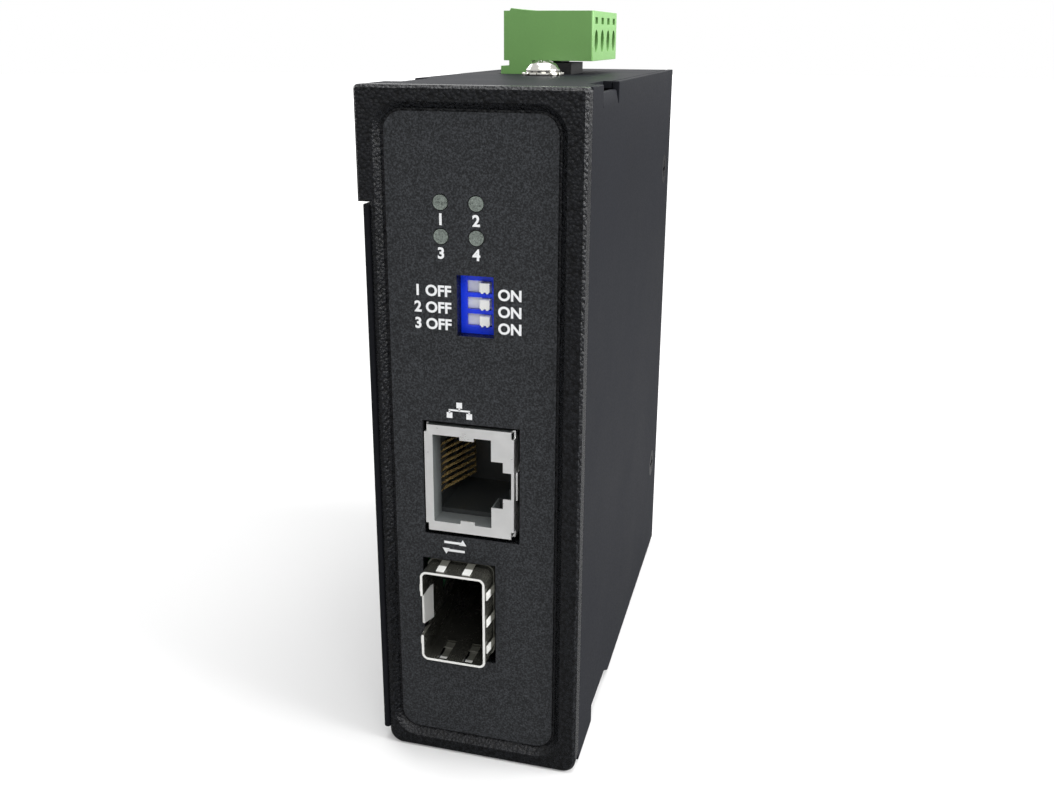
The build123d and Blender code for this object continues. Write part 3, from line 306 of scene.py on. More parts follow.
class PrintSettings(bpy.types.PropertyGroup):
    """Sizes and colour of the generic signs on the film."""

    ink_color: FloatVectorProperty(
        name="Ink",
        description="Colour of the printed signs",
        subtype="COLOR",
        size=3,
        min=0.0,
        max=1.0,
        default=(0.8, 0.81, 0.82),
    )
    light_text: FloatProperty(
        name="Light numbers",
        description="Height of the numbers under the status lights",
        subtype="DISTANCE",
        default=1.5 * MM,
    )
    switch_text: FloatProperty(
        name="Switch signs",
        description="Height of the signs beside the switch",
        subtype="DISTANCE",
        default=1.5 * MM,
    )
    symbol_size: FloatProperty(
        name="Port symbols",
        description="Height of the symbols above the two ports",
        subtype="DISTANCE",
        default=2.3 * MM,
    )


class StageSettings(bpy.types.PropertyGroup):
    """The floor, the lamps and the camera."""

    floor_color: FloatVectorProperty(
        name="Floor",
        description="Colour of the studio floor",
        subtype="COLOR",
        size=3,
        min=0.0,
        max=1.0,
        default=(0.56, 0.56, 0.56),
    )
    mirrored_floor: FloatProperty(
        name="Mirrored floor",
        description="Level of the floor where a glossy surface mirrors it",
        default=0.2,
        min=0.0,
        max=1.0,
    )
    key_power: FloatProperty(
        name="Right lamp",
        description="Power of the soft lamp at the right",
        subtype="POWER",
        default=6.0,
    )
    top_power: FloatProperty(
        name="Top lamp",
        description="Power of the soft lamp above",
        subtype="POWER",
        default=4.6,
    )
    front_power: FloatProperty(
        name="Front lamp",
        description="Power of the soft lamp in front, beside the camera",
        subtype="POWER",
        default=0.46,
    )
    back_power: FloatProperty(
        name="Back lamp",
        description="Power of the soft lamp behind, at the left",
        subtype="POWER",
        default=2.4,
    )
    sky_level: FloatProperty(
        name="Surrounding light",
        description="Level of the even light from all round",
        default=0.34,
    )
    lens: FloatProperty(
        name="Lens",
        description="Focal length of the camera in millimetres",
        default=35.313,
    )


def settings(name):
    """The scene's settings group of that name."""
    return getattr(bpy.context.scene, "converter_" + name)


class Finish:
    """A material being made, with short ways to add nodes and join them."""

    def __init__(self, name, color, roughness, metallic=0.0, gloss=0.5):
        self.material = bpy.data.materials.new(name)
        self.material.use_nodes = True
        self.tree = self.material.node_tree
        self.shader = self.tree.nodes["Principled BSDF"]
        self.color = tuple(color)
        self.shader.inputs["Base Color"].default_value = (*self.color, 1.0)
        self.shader.inputs["Roughness"].default_value = roughness
        self.shader.inputs["Metallic"].default_value = metallic
        self.shader.inputs["Specular IOR Level"].default_value = gloss
        self.place = self.node("ShaderNodeTexCoord").outputs["Object"]

    def node(self, kind, inputs=None, **options):
        """Adds a node, sets its options and fills or links its inputs."""
        made = self.tree.nodes.new(kind)
        for option, value in options.items():
            setattr(made, option, value)
        for socket, value in (inputs or {}).items():
            if isinstance(value, bpy.types.NodeSocket):
                self.tree.links.new(value, made.inputs[socket])
            else:
                made.inputs[socket].default_value = value
        return made

    def join(self, output, socket):
        """Links an output to one of the shader's own sockets."""
        self.tree.links.new(output, self.shader.inputs[socket])

    def stretched(self, stretch):
        """The object's coordinates, scaled along each axis."""
        mapping = self.node("ShaderNodeMapping", {"Vector": self.place, "Scale": stretch})
        return mapping.outputs["Vector"]

    def noise(self, width, detail, roughness=0.55, stretch=None):
        """Noise whose features are about as wide as the given length."""
        place = self.stretched(stretch) if stretch else self.place
        made = self.node(
            "ShaderNodeTexNoise",
            {"Vector": place, "Scale": 1.0 / width, "Detail": detail, "Roughness": roughness},
        )
        return made.outputs["Fac"]

    def pebbles(self, width):
        """Rounded cells, as in a moulded leather grain."""
        made = self.node(
            "ShaderNodeTexVoronoi",
            {"Vector": self.place, "Scale": 1.0 / width, "Smoothness": 0.6},
            feature="SMOOTH_F1",
        )
        return made.outputs["Distance"]

    def between(self, value, low, high, from_low=0.0, from_high=1.0):
        """Maps a value from one range to another."""
        made = self.node(
            "ShaderNodeMapRange",
            {
                "Value": value,
                "From Min": from_low,
                "From Max": from_high,
                "To Min": low,
                "To Max": high,
            },
        )
        return made.outputs["Result"]

    def sum(self, first, second, first_share, second_share):
        """Adds two values, each times its share."""
        one = self.node("ShaderNodeMath", {0: first, 1: first_share}, operation="MULTIPLY")
        two = self.node(
            "ShaderNodeMath",
            {0: second, 1: second_share, 2: one.outputs[0]},
            operation="MULTIPLY_ADD",
        )
        return two.outputs[0]

    def tint(self, factor, dark, light):
        """Colours the surface from its own colour times dark to times light."""
        mix = self.node("ShaderNodeMix", {"Factor": factor}, data_type="RGBA")
        mix.inputs["A"].default_value = (*(channel * dark for channel in self.color), 1.0)
        mix.inputs["B"].default_value = (*(channel * light for channel in self.color), 1.0)
        self.join(mix.outputs["Result"], "Base Color")
        return mix.outputs["Result"]

    def spots(self, color_now, factor, color):
        """Mixes a second colour in where the factor is high."""
        mix = self.node("ShaderNodeMix", {"Factor": factor, "A": color_now}, data_type="RGBA")
        mix.inputs["B"].default_value = (*color, 1.0)
        self.join(mix.outputs["Result"], "Base Color")

    def rough(self, value, low, high):
        """Lets the roughness wander between two levels, as noise of 0.3 to 0.7 does."""
        self.join(self.between(value, low, high, 0.3, 0.7), "Roughness")

    def bump(self, height, depth, strength):
        """Gives the surface relief of that depth."""
        inputs = {"Height": height, "Distance": depth, "Strength": strength}
        self.join(self.node("ShaderNodeBump", inputs).outputs["Normal"], "Normal")


def moulded_grain():
    """Coarse pebbled grain of the moulded bezel."""
    coating = settings("coating")
    finish = Finish("bezel_moulded_grain", coating.bezel_color, 0.3, gloss=0.2)
    pebble = finish.pebbles(coating.bezel_grain)
    fine = finish.noise(coating.bezel_grain * 0.35, detail=4)
    height = finish.sum(pebble, fine, -1.0, 0.45)
    finish.tint(finish.between(height, 0.0, 1.0, -0.55, 0.15), 0.3, 2.0)
    finish.rough(fine, 0.16, 0.36)
    finish.bump(height, coating.bezel_grain_depth, 0.85)
    return finish.material


def printed_film():
    """Fine, even texture of the film in the bezel's recess."""
    coating = settings("coating")
    finish = Finish("front_film", coating.film_color, 0.5, gloss=0.22)
    fine = finish.noise(coating.film_grain, detail=3, roughness=0.7)
    broad = finish.noise(18 * MM, detail=1)
    flecks = finish.between(fine, 0.0, 1.0, 0.42, 0.7)
    finish.tint(finish.sum(flecks, broad, 0.9, 0.1), 0.45, 2.6)
    finish.rough(fine, 0.4, 0.6)
    finish.bump(fine, 0.035 * MM, 0.8)
    return finish.material


def powder_coat():
    """Black powder coat of the folded case."""
    coating = settings("coating")
    finish = Finish("case_powder_coat", coating.paint_color, 0.5, gloss=0.04)
    peel = finish.noise(coating.paint_grain, detail=2)
    broad = finish.noise(25 * MM, detail=2)
    finish.tint(finish.sum(peel, broad, 0.6, 0.4), 0.6, 1.4)
    finish.rough(finish.sum(peel, broad, 0.5, 0.5), 0.42, 0.58)
    finish.bump(peel, 0.012 * MM, 0.6)
    return finish.material


def plated(name, color, roughness, lines=(1.0, 1.0, 1.0), wear=0.25, metallic=1.0):
    """Plated sheet metal with faint rolling lines and wandering gloss."""
    finish = Finish(name, color, roughness, metallic=metallic)
    rolling = finish.noise(0.18 * MM, detail=3, stretch=lines)
    clouds = finish.noise(2.4 * MM, detail=4)
    finish.tint(clouds, 1.0 - wear, 1.0 + wear * 0.4)
    finish.rough(finish.sum(rolling, clouds, 0.4, 0.6), roughness * 0.7, roughness * 1.35)
    finish.bump(rolling, 0.004 * MM, 0.5)
    return finish.material


def spring_pads(highlight_metal, cage_shade, back):
    """Springs with a painted highlight on their front pads and painted shade, in the cage's dark
    colour, behind them.
    """
    finish = Finish("spring_pads", highlight_metal, 0.42, metallic=0.4)
    clouds = finish.noise(2.4 * MM, detail=4)
    base = finish.tint(clouds, 0.92, 1.02)
    depth = finish.node("ShaderNodeSeparateXYZ", {0: finish.place}).outputs["Y"]
    # Painted shade: behind the pads the springs turn to the cage's dark colour
    shade_share = finish.between(depth, 0.0, 1.0, back - 0.1 * MM, back + 0.1 * MM)
    finish.spots(base, shade_share, cage_shade)
    finish.rough(clouds, 0.34, 0.5)
    return finish.material


def moulded(name, color, roughness, grain=0.25 * MM, depth=0.01 * MM, spread=0.1, gloss=0.5):
    """Moulded plastic with a faint surface texture and slight colour variation."""
    finish = Finish(name, color, roughness, gloss=gloss)
    fine = finish.noise(grain, detail=3)
    broad = finish.noise(6 * MM, detail=2)
    finish.tint(finish.sum(fine, broad, 0.4, 0.6), 1.0 - spread, 1.0 + spread)
    finish.rough(fine, roughness * 0.88, roughness * 1.12)
    finish.bump(fine, depth, 0.6)
    return finish.material


def frosted_light():
    """Unlit light pipe: greyish clear plastic with a frosted, speckled core."""
    finish = Finish("frosted_light_pipe", settings("plastic").light_color, 0.3)
    speckle = finish.noise(0.22 * MM, detail=3, roughness=0.7)
    cloud = finish.noise(0.8 * MM, detail=3)
    mottle = finish.sum(speckle, cloud, 0.7, 0.3)
    finish.tint(finish.between(mottle, 0.0, 1.0, 0.35, 0.65), 0.35, 2.1)
    finish.rough(cloud, 0.22, 0.4)
    finish.bump(speckle, 0.03 * MM, 0.5)
    finish.shader.inputs["Coat Weight"].default_value = 0.4
    return finish.material


def solder_mask():
    """Green lacquer of the circuit boards, with copper tracks showing through."""
    finish = Finish("board_solder_mask", BOARD_GREEN, 0.3)
    tracks = finish.node(
        "ShaderNodeTexBrick",
        {
            "Vector": finish.place,
            "Color1": (0.0, 0.0, 0.0, 1.0),
            "Color2": (0.0, 0.0, 0.0, 1.0),
            "Mortar": (1.0, 1.0, 1.0, 1.0),
            "Scale": 1.0,
            "Mortar Size": 0.18 * MM,
            "Brick Width": 2.2 * MM,
            "Row Height": 0.9 * MM,
        },
    )
    broad = finish.noise(5 * MM, detail=2)
    base = finish.tint(broad, 0.8, 1.2)
    share = finish.between(tracks.outputs["Fac"], 0.0, 0.5)
    finish.spots(base, share, TRACK_GREEN)
    finish.rough(broad, 0.24, 0.36)
    finish.bump(tracks.outputs["Fac"], 0.03 * MM, 0.5)
    return finish.material


def printed_ink():
    """White screen-printed ink."""
    finish = Finish("printed_ink", settings("print").ink_color, 0.5)
    fine = finish.noise(0.16 * MM, detail=2)
    finish.tint(fine, 0.9, 1.08)
    finish.bump(fine, 0.01 * MM, 0.5)
    return finish.material


def put_on(piece, material):
    """Gives a piece one material."""
    piece.data.materials.clear()
    piece.data.materials.append(material)


def accent(piece, material, chosen):
    """Gives a second material to the faces whose middle the test picks."""
    piece.data.materials.append(material)
    for polygon in piece.data.polygons:
        if chosen(polygon.center):
            polygon.material_index = 1


def add_piece(name, mesh, body, material, replaced=()):
    """A new piece that rides on a body, takes its finish from a slot and may stand for nodes."""
    piece = bpy.data.objects.new(name, mesh)
    bpy.context.scene.collection.objects.link(piece)
    put_on(piece, material)
    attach(piece, body)
    if replaced:
        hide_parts(*replaced)
    return piece


def smooth_by_angle(bm):
    """Shades smooth, with sharp edges where faces meet at more than the sharp angle."""
    for face in bm.faces:
        face.smooth = True
    for edge in bm.edges:
        edge.smooth = edge.is_manifold and edge.calc_face_angle(pi) < SHARP_ANGLE


def dress(node, material, name, edge=0.0):
    """Replaces a CAD node with a merged copy whose sharp edges are slightly rounded."""
    bm = bmesh.new()
    bm.from_mesh(frame["nodes"][node].data)
    bmesh.ops.remove_doubles(bm, verts=bm.verts, dist=MERGE_DISTANCE)
    bmesh.ops.dissolve_limit(
        bm, angle_limit=FLAT_ANGLE, use_dissolve_boundaries=False, verts=bm.verts, edges=bm.edges
    )
    if edge:
        sharp = [
            one for one in bm.edges if one.is_manifold and one.calc_face_angle(0.0) > SHARP_ANGLE
        ]
        bmesh.ops.bevel(
            bm,
            geom=sharp,
            offset=edge,
            offset_type="OFFSET",
            segments=EDGE_STEPS,
            profile=0.5,
            affect="EDGES",
            clamp_overlap=True,
            material=-1,
        )
    smooth_by_angle(bm)
    mesh = bpy.data.meshes.new(name)
    bm.to_mesh(mesh)
    bm.free()
    piece = add_piece(name, mesh, body_of_node[node], material, [node])
    if edge:
        even = piece.modifiers.new("even_shading", "WEIGHTED_NORMAL")
        even.keep_sharp = True
    return piece


class CONVERTER_OT_bezel(bpy.types.Operator):
    """Dress the moulded bezel and the film in its recess"""

    bl_idname = "converter.bezel"
    bl_label = "Bezel and Film"
    bl_options = {"REGISTER", "UNDO"}

    def execute(self, context):
        dress("front_bezel", moulded_grain(), edge=0.12 * MM, name="bezel_moulding")
        dress("front_overlay", printed_film(), edge=0.05 * MM, name="front_film")
        return {"FINISHED"}


class CONVERTER_OT_case(bpy.types.Operator):
    """Dress the folded case, its two covers and their screws"""

    bl_idname = "converter.case"
    bl_label = "Case"
    bl_options = {"REGISTER", "UNDO"}

    def execute(self, context):
        paint = powder_coat()
        dress("chassis", paint, edge=0.15 * MM, name="case_shell")
        dress("right_cover", paint, edge=0.15 * MM, name="case_cover_right")
        dress("left_cover", paint, edge=0.15 * MM, name="case_cover_left")
        black = plated("blackened_steel", BLACKENED_STEEL, 0.4)
        dress("cover_screws", black, edge=0.06 * MM, name="case_cover_screws")
        return {"FINISHED"}


class CONVERTER_OT_network_jack(bpy.types.Operator):
    """Dress the network jack: shield, insert and contacts"""

    bl_idname = "converter.network_jack"
    bl_label = "Network Jack"
    bl_options = {"REGISTER", "UNDO"}

    def execute(self, context):
        metal = settings("metal")
        nickel = plated(
            "jack_nickel", metal.nickel_color, 0.34, lines=(0.15, 1.0, 1.0), wear=0.1, metallic=0.85
        )
        shell = dress("jack_shield", nickel, edge=0.06 * MM, name="jack_shell")
        # Painted shade: faces behind the jack's face and between its two sides take the darker
        # nickel
        jack_inside_shade = plated("jack_nickel_inside", metal.inside_color, 0.4, metallic=0.3)
        low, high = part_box("jack_shield")
        face_back = low[1] + JACK_FACE_DEPTH
        left, right = low[0] + JACK_SIDE_WIDTH, high[0] - JACK_SIDE_WIDTH
        accent(shell, jack_inside_shade, lambda middle: middle.y > face_back and left < middle.x < right)
        black = moulded("jack_insert_black", INSERT_BLACK, 0.35)
        dress("jack_insert", black, edge=0.05 * MM, name="jack_moulding")
        gold = plated(
            "contact_gold", metal.gold_color, 0.25, lines=(1.0, 0.2, 1.0), wear=0.1, metallic=0.75
        )
        dress("jack_contacts", gold, edge=0.04 * MM, name="jack_contact_wires")
        return {"FINISHED"}


class CONVERTER_OT_transceiver_cage(bpy.types.Operator):
    """Dress the transceiver cage, its springs, connector and contacts"""

    bl_idname = "converter.transceiver_cage"
    bl_label = "Transceiver Cage"
    bl_options = {"REGISTER", "UNDO"}

    def execute(self, context):
        metal = settings("metal")
        # Painted shade: the cage's sheet takes a dark nickel for the shade in and around it
        cage_shade = plated(
            "cage_nickel", metal.cage_color, 0.24, lines=(1.0, 0.12, 1.0), wear=0.5, metallic=0.8
        )
        highlight_metal = plated("spring_steel", metal.edge_color, 0.42, wear=0.05, metallic=0.4)
        cage_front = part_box("cage")[0][1]
        rim_back = cage_front + RIM_DEPTH
        wall_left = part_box("circuit_board")[1][0]
        sheet = dress("cage", cage_shade, edge=0.05 * MM, name="cage_sheet")
        # Painted highlight: the cage's front rim and its faces left of the board's right edge take
        # the bright metal
        accent(sheet, highlight_metal, lambda middle: middle.y < rim_back or middle.x < wall_left)
        pads = spring_pads(metal.edge_color, metal.cage_color, cage_front + PAD_DEPTH)
        dress("cage_springs", pads, edge=0.03 * MM, name="cage_earth_springs")
        black = moulded("connector_black", settings("plastic").black_color, 0.4)
        dress("cage_connector", black, edge=0.08 * MM, name="cage_connector_block")
        gold = plated("connector_gold", metal.gold_color, 0.2)
        dress("cage_contacts", gold, name="cage_connector_contacts")
        return {"FINISHED"}


class CONVERTER_OT_switch(bpy.types.Operator):
    """Dress the three-way switch and its sliders"""

    bl_idname = "converter.switch"
    bl_label = "Switch"
    bl_options = {"REGISTER", "UNDO"}

    def execute(self, context):
        plastic = settings("plastic")
        blue = moulded("switch_blue", plastic.switch_color, 0.3)
        dress("switch_body", blue, edge=0.06 * MM, name="switch_block")
        white = moulded("slider_white", plastic.slider_color, 0.4)
        for place in (1, 2, 3):
            dress(f"switch_slider_{place}", white, edge=0.05 * MM, name=f"slider_{place}")
        return {"FINISHED"}


class CONVERTER_OT_status_lights(bpy.types.Operator):
    """Dress the four light pipes and the chips behind them"""

    bl_idname = "converter.status_lights"
    bl_label = "Status Lights"
    bl_options = {"REGISTER", "UNDO"}

    def execute(self, context):
        frosted = frosted_light()
        for place in (1, 2, 3, 4):
            dress(f"light_pipe_{place}", frosted, name=f"status_light_{place}")
        white = moulded("light_chip_white", settings("plastic").slider_color, 0.4)
        dress("light_chips", white, edge=0.05 * MM, name="status_light_chips")
        return {"FINISHED"}


class CONVERTER_OT_terminal_plug(bpy.types.Operator):
    """Dress the terminal plug, its wire clamps, the header and its pins"""

    bl_idname = "converter.terminal_plug"
    bl_label = "Terminal Plug"
    bl_options = {"REGISTER", "UNDO"}

    def execute(self, context):
        plastic = settings("plastic")
        green = moulded(
            "plug_green", plastic.plug_color, 0.4, grain=0.4 * MM, depth=0.02 * MM, spread=0.14
        )
        dress("terminal_plug", green, edge=0.12 * MM, name="plug_body")
        steel = plated("clamp_steel", settings("metal").steel_color, 0.25)
        dress("plug_clamps", steel, edge=0.05 * MM, name="plug_wire_clamps")
        black = moulded("header_black", plastic.black_color, 0.45, gloss=0.2)
        dress("terminal_header", black, edge=0.1 * MM, name="plug_header")
        tin = plated("pin_tin", settings("metal").steel_color, 0.3)
        dress("header_pins", tin, edge=0.06 * MM, name="plug_header_pins")
        return {"FINISHED"}


class CONVERTER_OT_ground_screw(bpy.types.Operator):
    """Dress the ground screw, its toothed washer and its nut"""

    bl_idname = "converter.ground_screw"
    bl_label = "Ground Screw"
    bl_options = {"REGISTER", "UNDO"}

    def execute(self, context):
        steel = plated("screw_zinc", SCREW_ZINC, 0.14, wear=0.3)
        dress("ground_screw", steel, edge=0.06 * MM, name="earth_screw")
        dress("ground_washer", steel, edge=0.06 * MM, name="earth_washer")
        dress("ground_nut", steel, edge=0.1 * MM, name="earth_nut")
        return {"FINISHED"}


class CONVERTER_OT_rail_clip(bpy.types.Operator):
    """Dress the rail clip: plate, latch, spring and screws"""

    bl_idname = "converter.rail_clip"
    bl_label = "Rail Clip"
    bl_options = {"REGISTER", "UNDO"}

    def execute(self, context):
        black = moulded(
            "clip_black", settings("plastic").black_color, 0.45, grain=0.4 * MM, gloss=0.3
        )
        dress("clip_plate", black, edge=0.2 * MM, name="rail_clip_plate")
        dress("clip_latch", black, edge=0.2 * MM, name="rail_clip_latch")
        steel = plated("clip_steel", settings("metal").steel_color, 0.22)
        dress("clip_spring", steel, name="rail_clip_spring")
        dress("clip_screws", steel, edge=0.06 * MM, name="rail_clip_screws")
        return {"FINISHED"}


class CONVERTER_OT_boards(bpy.types.Operator):
    """Dress the boards inside the case and the parts on them"""

    bl_idname = "converter.boards"
    bl_label = "Boards"
    bl_options = {"REGISTER", "UNDO"}

    def execute(self, context):
        mask = solder_mask()
        black = moulded("chip_black", CHIP_BLACK, 0.45)
        steel = plated("fixing_steel", settings("metal").steel_color, 0.25)
        finishes = {
            "circuit_board": mask,
            "front_board": mask,
            "board_link": black,
            "board_standoffs": plated("standoff_brass", STANDOFF_BRASS, 0.3),
            "board_screws": steel,
            "controller_chip": black,
            "network_transformer": black,
            "power_inductor": moulded("ferrite_grey", FERRITE_GREY, 0.6),
            "capacitors": plated("can_aluminium", CAN_ALUMINIUM, 0.3),
            "crystal": plated("crystal_can", CRYSTAL_CAN, 0.2),
            "input_diodes": black,
            "fuse": moulded("fuse_white", FUSE_WHITE, 0.4),
        }
        for node, material in finishes.items():
            dress(node, material, name=node + "_part")
        return {"FINISHED"}


def text_mesh(words, height, place, align="CENTER"):
    """Flat letters, made a mesh, standing on the film and facing the viewer at that x and z."""
    curve = bpy.data.curves.new("sign_text", "FONT")
    curve.body = words
    curve.size = height * CAPITAL_SCALE
    curve.align_x = align
    curve.align_y = "CENTER"
    curve.offset = height * STROKE_GROWTH
    curve.extrude = PRINT_DEPTH / 2
    curve.resolution_u = 4
    holder = bpy.data.objects.new("sign_text", curve)
    bpy.context.scene.collection.objects.link(holder)
    bpy.context.view_layer.update()
    mesh = bpy.data.meshes.new_from_object(holder)
    bpy.data.objects.remove(holder)
    bpy.data.curves.remove(curve)
    stand = Matrix.Rotation(radians(90), 4, "X")
    mesh.transform(Matrix.Translation((place[0], PRINT_Y, place[1])) @ stand)
    return mesh


class CONVERTER_OT_printing(bpy.types.Operator):
    """Print the generic numbers and symbols on the film"""

    bl_idname = "converter.printing"
    bl_label = "Printed Signs"
    bl_options = {"REGISTER", "UNDO"}

    def execute(self, context):
        printing = settings("print")
        bm = bmesh.new()

        def add(mesh):
            bm.from_mesh(mesh)
            bpy.data.meshes.remove(mesh)

        for place in (1, 2, 3, 4):
            low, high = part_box(f"light_pipe_{place}")
            middle_x = (low[0] + high[0]) / 2
            add(text_mesh(str(place), printing.light_text, (middle_x, low[2] - NUMBER_DROP)))
        body_low, body_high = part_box("switch_body")
        left = body_low[0] + WORD_LEFT_INSET
        right = body_high[0] + WORD_RIGHT_GAP
        for place in (1, 2, 3):
            low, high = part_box(f"switch_slider_{place}")
            row = (low[2] + high[2]) / 2 - WORD_DROP
            add(text_mesh(f"{place} OFF", printing.switch_text, (left, row), "RIGHT"))
            add(text_mesh("ON", printing.switch_text, (right, row), "LEFT"))
        size = printing.symbol_size
        jack_low, jack_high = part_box("jack_shield")
        across, rise = NETWORK_SIGN_ACROSS, NETWORK_SIGN_RISE
        self.draw_network(bm, jack_low[0] + across, jack_high[2] + rise, size)
        cage_low, cage_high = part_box("cage")
        across, rise = EXCHANGE_SIGN_ACROSS, EXCHANGE_SIGN_RISE
        self.draw_exchange(bm, cage_low[0] + across, cage_high[2] + rise, size)
        mesh = bpy.data.meshes.new("front_signs")
        bm.to_mesh(mesh)
        bm.free()
        add_piece("front_signs", mesh, "case", printed_ink())
        return {"FINISHED"}

    def draw_network(self, bm, x, z, size):
        """Three stations joined by a line: the sign of a network port."""
        box, line, step = size * 0.36, size * 0.11, size * 0.62
        draw_bar(bm, x, z + size * 0.33, box, box)
        draw_bar(bm, x, z + size * 0.08, line, size * 0.2)
        draw_bar(bm, x, z, 2 * step + line, line)
        for side in (-1, 1):
            draw_bar(bm, x + side * step, z - size * 0.1, line, size * 0.2)
            draw_bar(bm, x + side * step, z - size * 0.33, box, box)

    def draw_exchange(self, bm, x, z, size):
        """Two opposite arrows: the sign of a port that sends and receives."""
        for side in (-1, 1):
            row = z + side * size * 0.27
            draw_bar(bm, x - side * size * 0.12, row, size * 1.1, size * 0.16)
            tip = Matrix.Translation((x + side * size * 0.55, PRINT_Y, row))
            stand = Matrix.Rotation(radians(90), 4, "X")
            turn = stand @ Matrix.Rotation(radians(90 - side * 90), 4, "Z")
            bmesh.ops.create_cone(
                bm,
                cap_ends=True,
                segments=3,
                radius1=size * 0.27,
                radius2=size * 0.27,
                depth=PRINT_DEPTH,
                matrix=tip @ turn,
            )


def draw_bar(bm, x, z, width, height):
    """A printed rectangle on the film."""
    scale = Matrix.Diagonal((width, PRINT_DEPTH, height, 1.0))
    bmesh.ops.create_cube(bm, size=1.0, matrix=Matrix.Translation((x, PRINT_Y, z)) @ scale)


def aim(position, target):
    """A matrix that stands at a position and looks at a target."""
    turn = (Vector(target) - Vector(position)).to_track_quat("-Z", "Y").to_matrix().to_4x4()
    return Matrix.Translation(position) @ turn


def add_lamp(name, position, width, height, power, target):
    """A rectangular soft lamp aimed at a point of the object."""
    lamp = bpy.data.lights.new(name, "AREA")
    lamp.shape = "RECTANGLE"
    lamp.size = width
    lamp.size_y = height
    lamp.energy = power
    holder = bpy.data.objects.new(name, lamp)
    holder.matrix_world = aim(position, target)
    bpy.context.scene.collection.objects.link(holder)


class CONVERTER_OT_stage(bpy.types.Operator):
    """Set up the floor, the surrounding light, the lamps and the camera"""

    bl_idname = "converter.stage"
    bl_label = "Stage"
    bl_options = {"REGISTER", "UNDO"}

    def execute(self, context):
        stage = settings("stage")
        scene = context.scene
        bm = bmesh.new()
        bmesh.ops.create_circle(bm, cap_ends=True, radius=FLOOR_RADIUS, segments=96)
        mesh = bpy.data.meshes.new("studio_floor")
        bm.to_mesh(mesh)
        bm.free()
        floor = bpy.data.objects.new("studio_floor", mesh)
        scene.collection.objects.link(floor)
        finish = Finish("floor_paper", stage.floor_color, 0.9, gloss=0.1)
        paper = finish.tint(finish.noise(40 * MM, detail=2), 0.99, 1.0)
        finish.shader.inputs["Emission Color"].default_value = (1.0, 1.0, 1.0, 1.0)
        ray = finish.node("ShaderNodeLightPath")
        finish.spots(paper, ray.outputs["Is Glossy Ray"], (stage.mirrored_floor,) * 3)
        reach = finish.node("ShaderNodeVectorMath", {0: finish.place}, operation="LENGTH")
        lift = finish.between(reach.outputs["Value"], GLOW_NEAR, GLOW_FAR, GLOW_FROM, GLOW_TO)
        seen = finish.node(
            "ShaderNodeMath",
            {0: ray.outputs["Is Camera Ray"], 1: lift},
            operation="MULTIPLY",
        )
        finish.join(seen.outputs[0], "Emission Strength")
        put_on(floor, finish.material)
        self.light_surroundings(scene, stage)
        for name, power, position, width, height, target in LAMPS:
            add_lamp(name, position, width, height, getattr(stage, power), target)
        self.place_camera(scene, stage)
        return {"FINISHED"}

    def light_surroundings(self, scene, stage):
        """White where seen directly or mirrored, softer as a light."""
        world = bpy.data.worlds.new("studio_surroundings")
        scene.world = world
        world.use_nodes = True
        tree = world.node_tree
        background = tree.nodes["Background"]
        background.inputs["Color"].default_value = (1.0, 1.0, 1.0, 1.0)
        ray = tree.nodes.new("ShaderNodeLightPath")
        shown = tree.nodes.new("ShaderNodeMath")
        shown.operation = "MAXIMUM"
        tree.links.new(ray.outputs["Is Camera Ray"], shown.inputs[0])
        tree.links.new(ray.outputs["Is Glossy Ray"], shown.inputs[1])
        level = tree.nodes.new("ShaderNodeMath")
        level.operation = "MAXIMUM"
        tree.links.new(shown.outputs[0], level.inputs[0])
        level.inputs[1].default_value = stage.sky_level
        tree.links.new(level.outputs[0], background.inputs["Strength"])

    def place_camera(self, scene, stage):
        """The photograph's camera, found from the case's corners."""
        yaw, pitch, roll = CAMERA_YAW, CAMERA_PITCH, CAMERA_ROLL
        forward = Vector((-sin(yaw) * cos(pitch), cos(yaw) * cos(pitch), -sin(pitch)))
        level_right = Vector((cos(yaw), sin(yaw), 0.0))
        level_up = level_right.cross(forward)
        right = cos(roll) * level_right + sin(roll) * level_up
        up = -sin(roll) * level_right + cos(roll) * level_up
        camera = bpy.data.cameras.new("camera")
        camera.sensor_width = SENSOR_WIDTH
        camera.lens = stage.lens
        camera.shift_y = CAMERA_SHIFT
        camera.clip_start = NEAREST
        holder = bpy.data.objects.new("camera", camera)
        turn = Matrix((right, up, -forward)).transposed().to_4x4()
        holder.matrix_world = Matrix.Translation(CAMERA_PLACE) @ turn
        scene.collection.objects.link(holder)
        scene.camera = holder
        scene.view_settings.view_transform = "Standard"


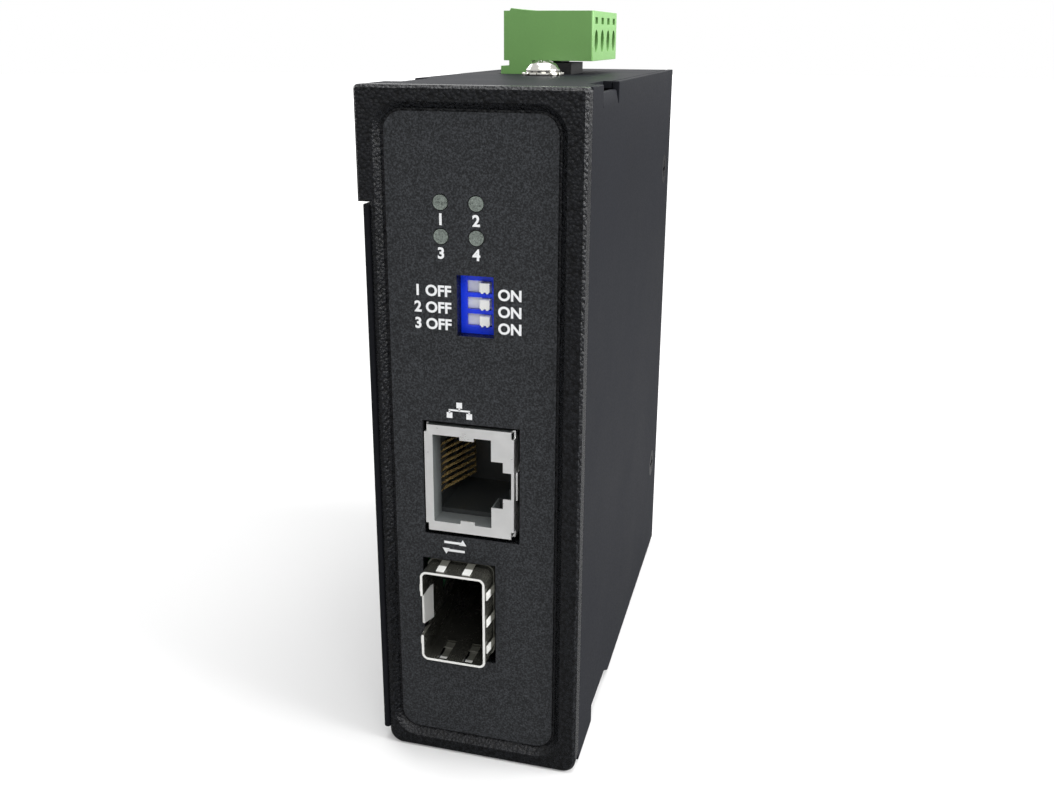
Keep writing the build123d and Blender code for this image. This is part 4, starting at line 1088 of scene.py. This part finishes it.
class CONVERTER_PT_sidebar(bpy.types.Panel):
    """Buttons that dress the converter, and its settings"""

    bl_idname = "CONVERTER_PT_sidebar"
    bl_label = "Media Converter"
    bl_space_type = "VIEW_3D"
    bl_region_type = "UI"
    bl_category = "Converter"

    def draw(self, context):
        for operator in OPERATORS:
            self.layout.operator(operator.bl_idname)
        for name, group in GROUPS.items():
            box = self.layout.box()
            box.label(text=name.title())
            for key in group.__annotations__:
                box.prop(settings(name), key)


GROUPS = {
    "coating": CoatingSettings,
    "metal": MetalSettings,
    "plastic": PlasticSettings,
    "print": PrintSettings,
    "stage": StageSettings,
}
OPERATORS = (
    CONVERTER_OT_stage,
    CONVERTER_OT_bezel,
    CONVERTER_OT_case,
    CONVERTER_OT_network_jack,
    CONVERTER_OT_transceiver_cage,
    CONVERTER_OT_switch,
    CONVERTER_OT_status_lights,
    CONVERTER_OT_terminal_plug,
    CONVERTER_OT_ground_screw,
    CONVERTER_OT_rail_clip,
    CONVERTER_OT_boards,
    CONVERTER_OT_printing,
)


def register():
    for group in GROUPS.values():
        bpy.utils.register_class(group)
    for name, group in GROUPS.items():
        setattr(bpy.types.Scene, "converter_" + name, PointerProperty(type=group))
    for operator in OPERATORS:
        bpy.utils.register_class(operator)
    bpy.utils.register_class(CONVERTER_PT_sidebar)


def unregister():
    bpy.utils.unregister_class(CONVERTER_PT_sidebar)
    for operator in reversed(OPERATORS):
        bpy.utils.unregister_class(operator)
    for name in GROUPS:
        delattr(bpy.types.Scene, "converter_" + name)
    for group in GROUPS.values():
        bpy.utils.unregister_class(group)


def main():
    register()
    bpy.ops.converter.stage()
    bpy.ops.converter.bezel()
    bpy.ops.converter.case()
    bpy.ops.converter.network_jack()
    bpy.ops.converter.transceiver_cage()
    bpy.ops.converter.switch()
    bpy.ops.converter.status_lights()
    bpy.ops.converter.terminal_plug()
    bpy.ops.converter.ground_screw()
    bpy.ops.converter.rail_clip()
    bpy.ops.converter.boards()
    bpy.ops.converter.printing()


if __name__ == "__main__":
    main()
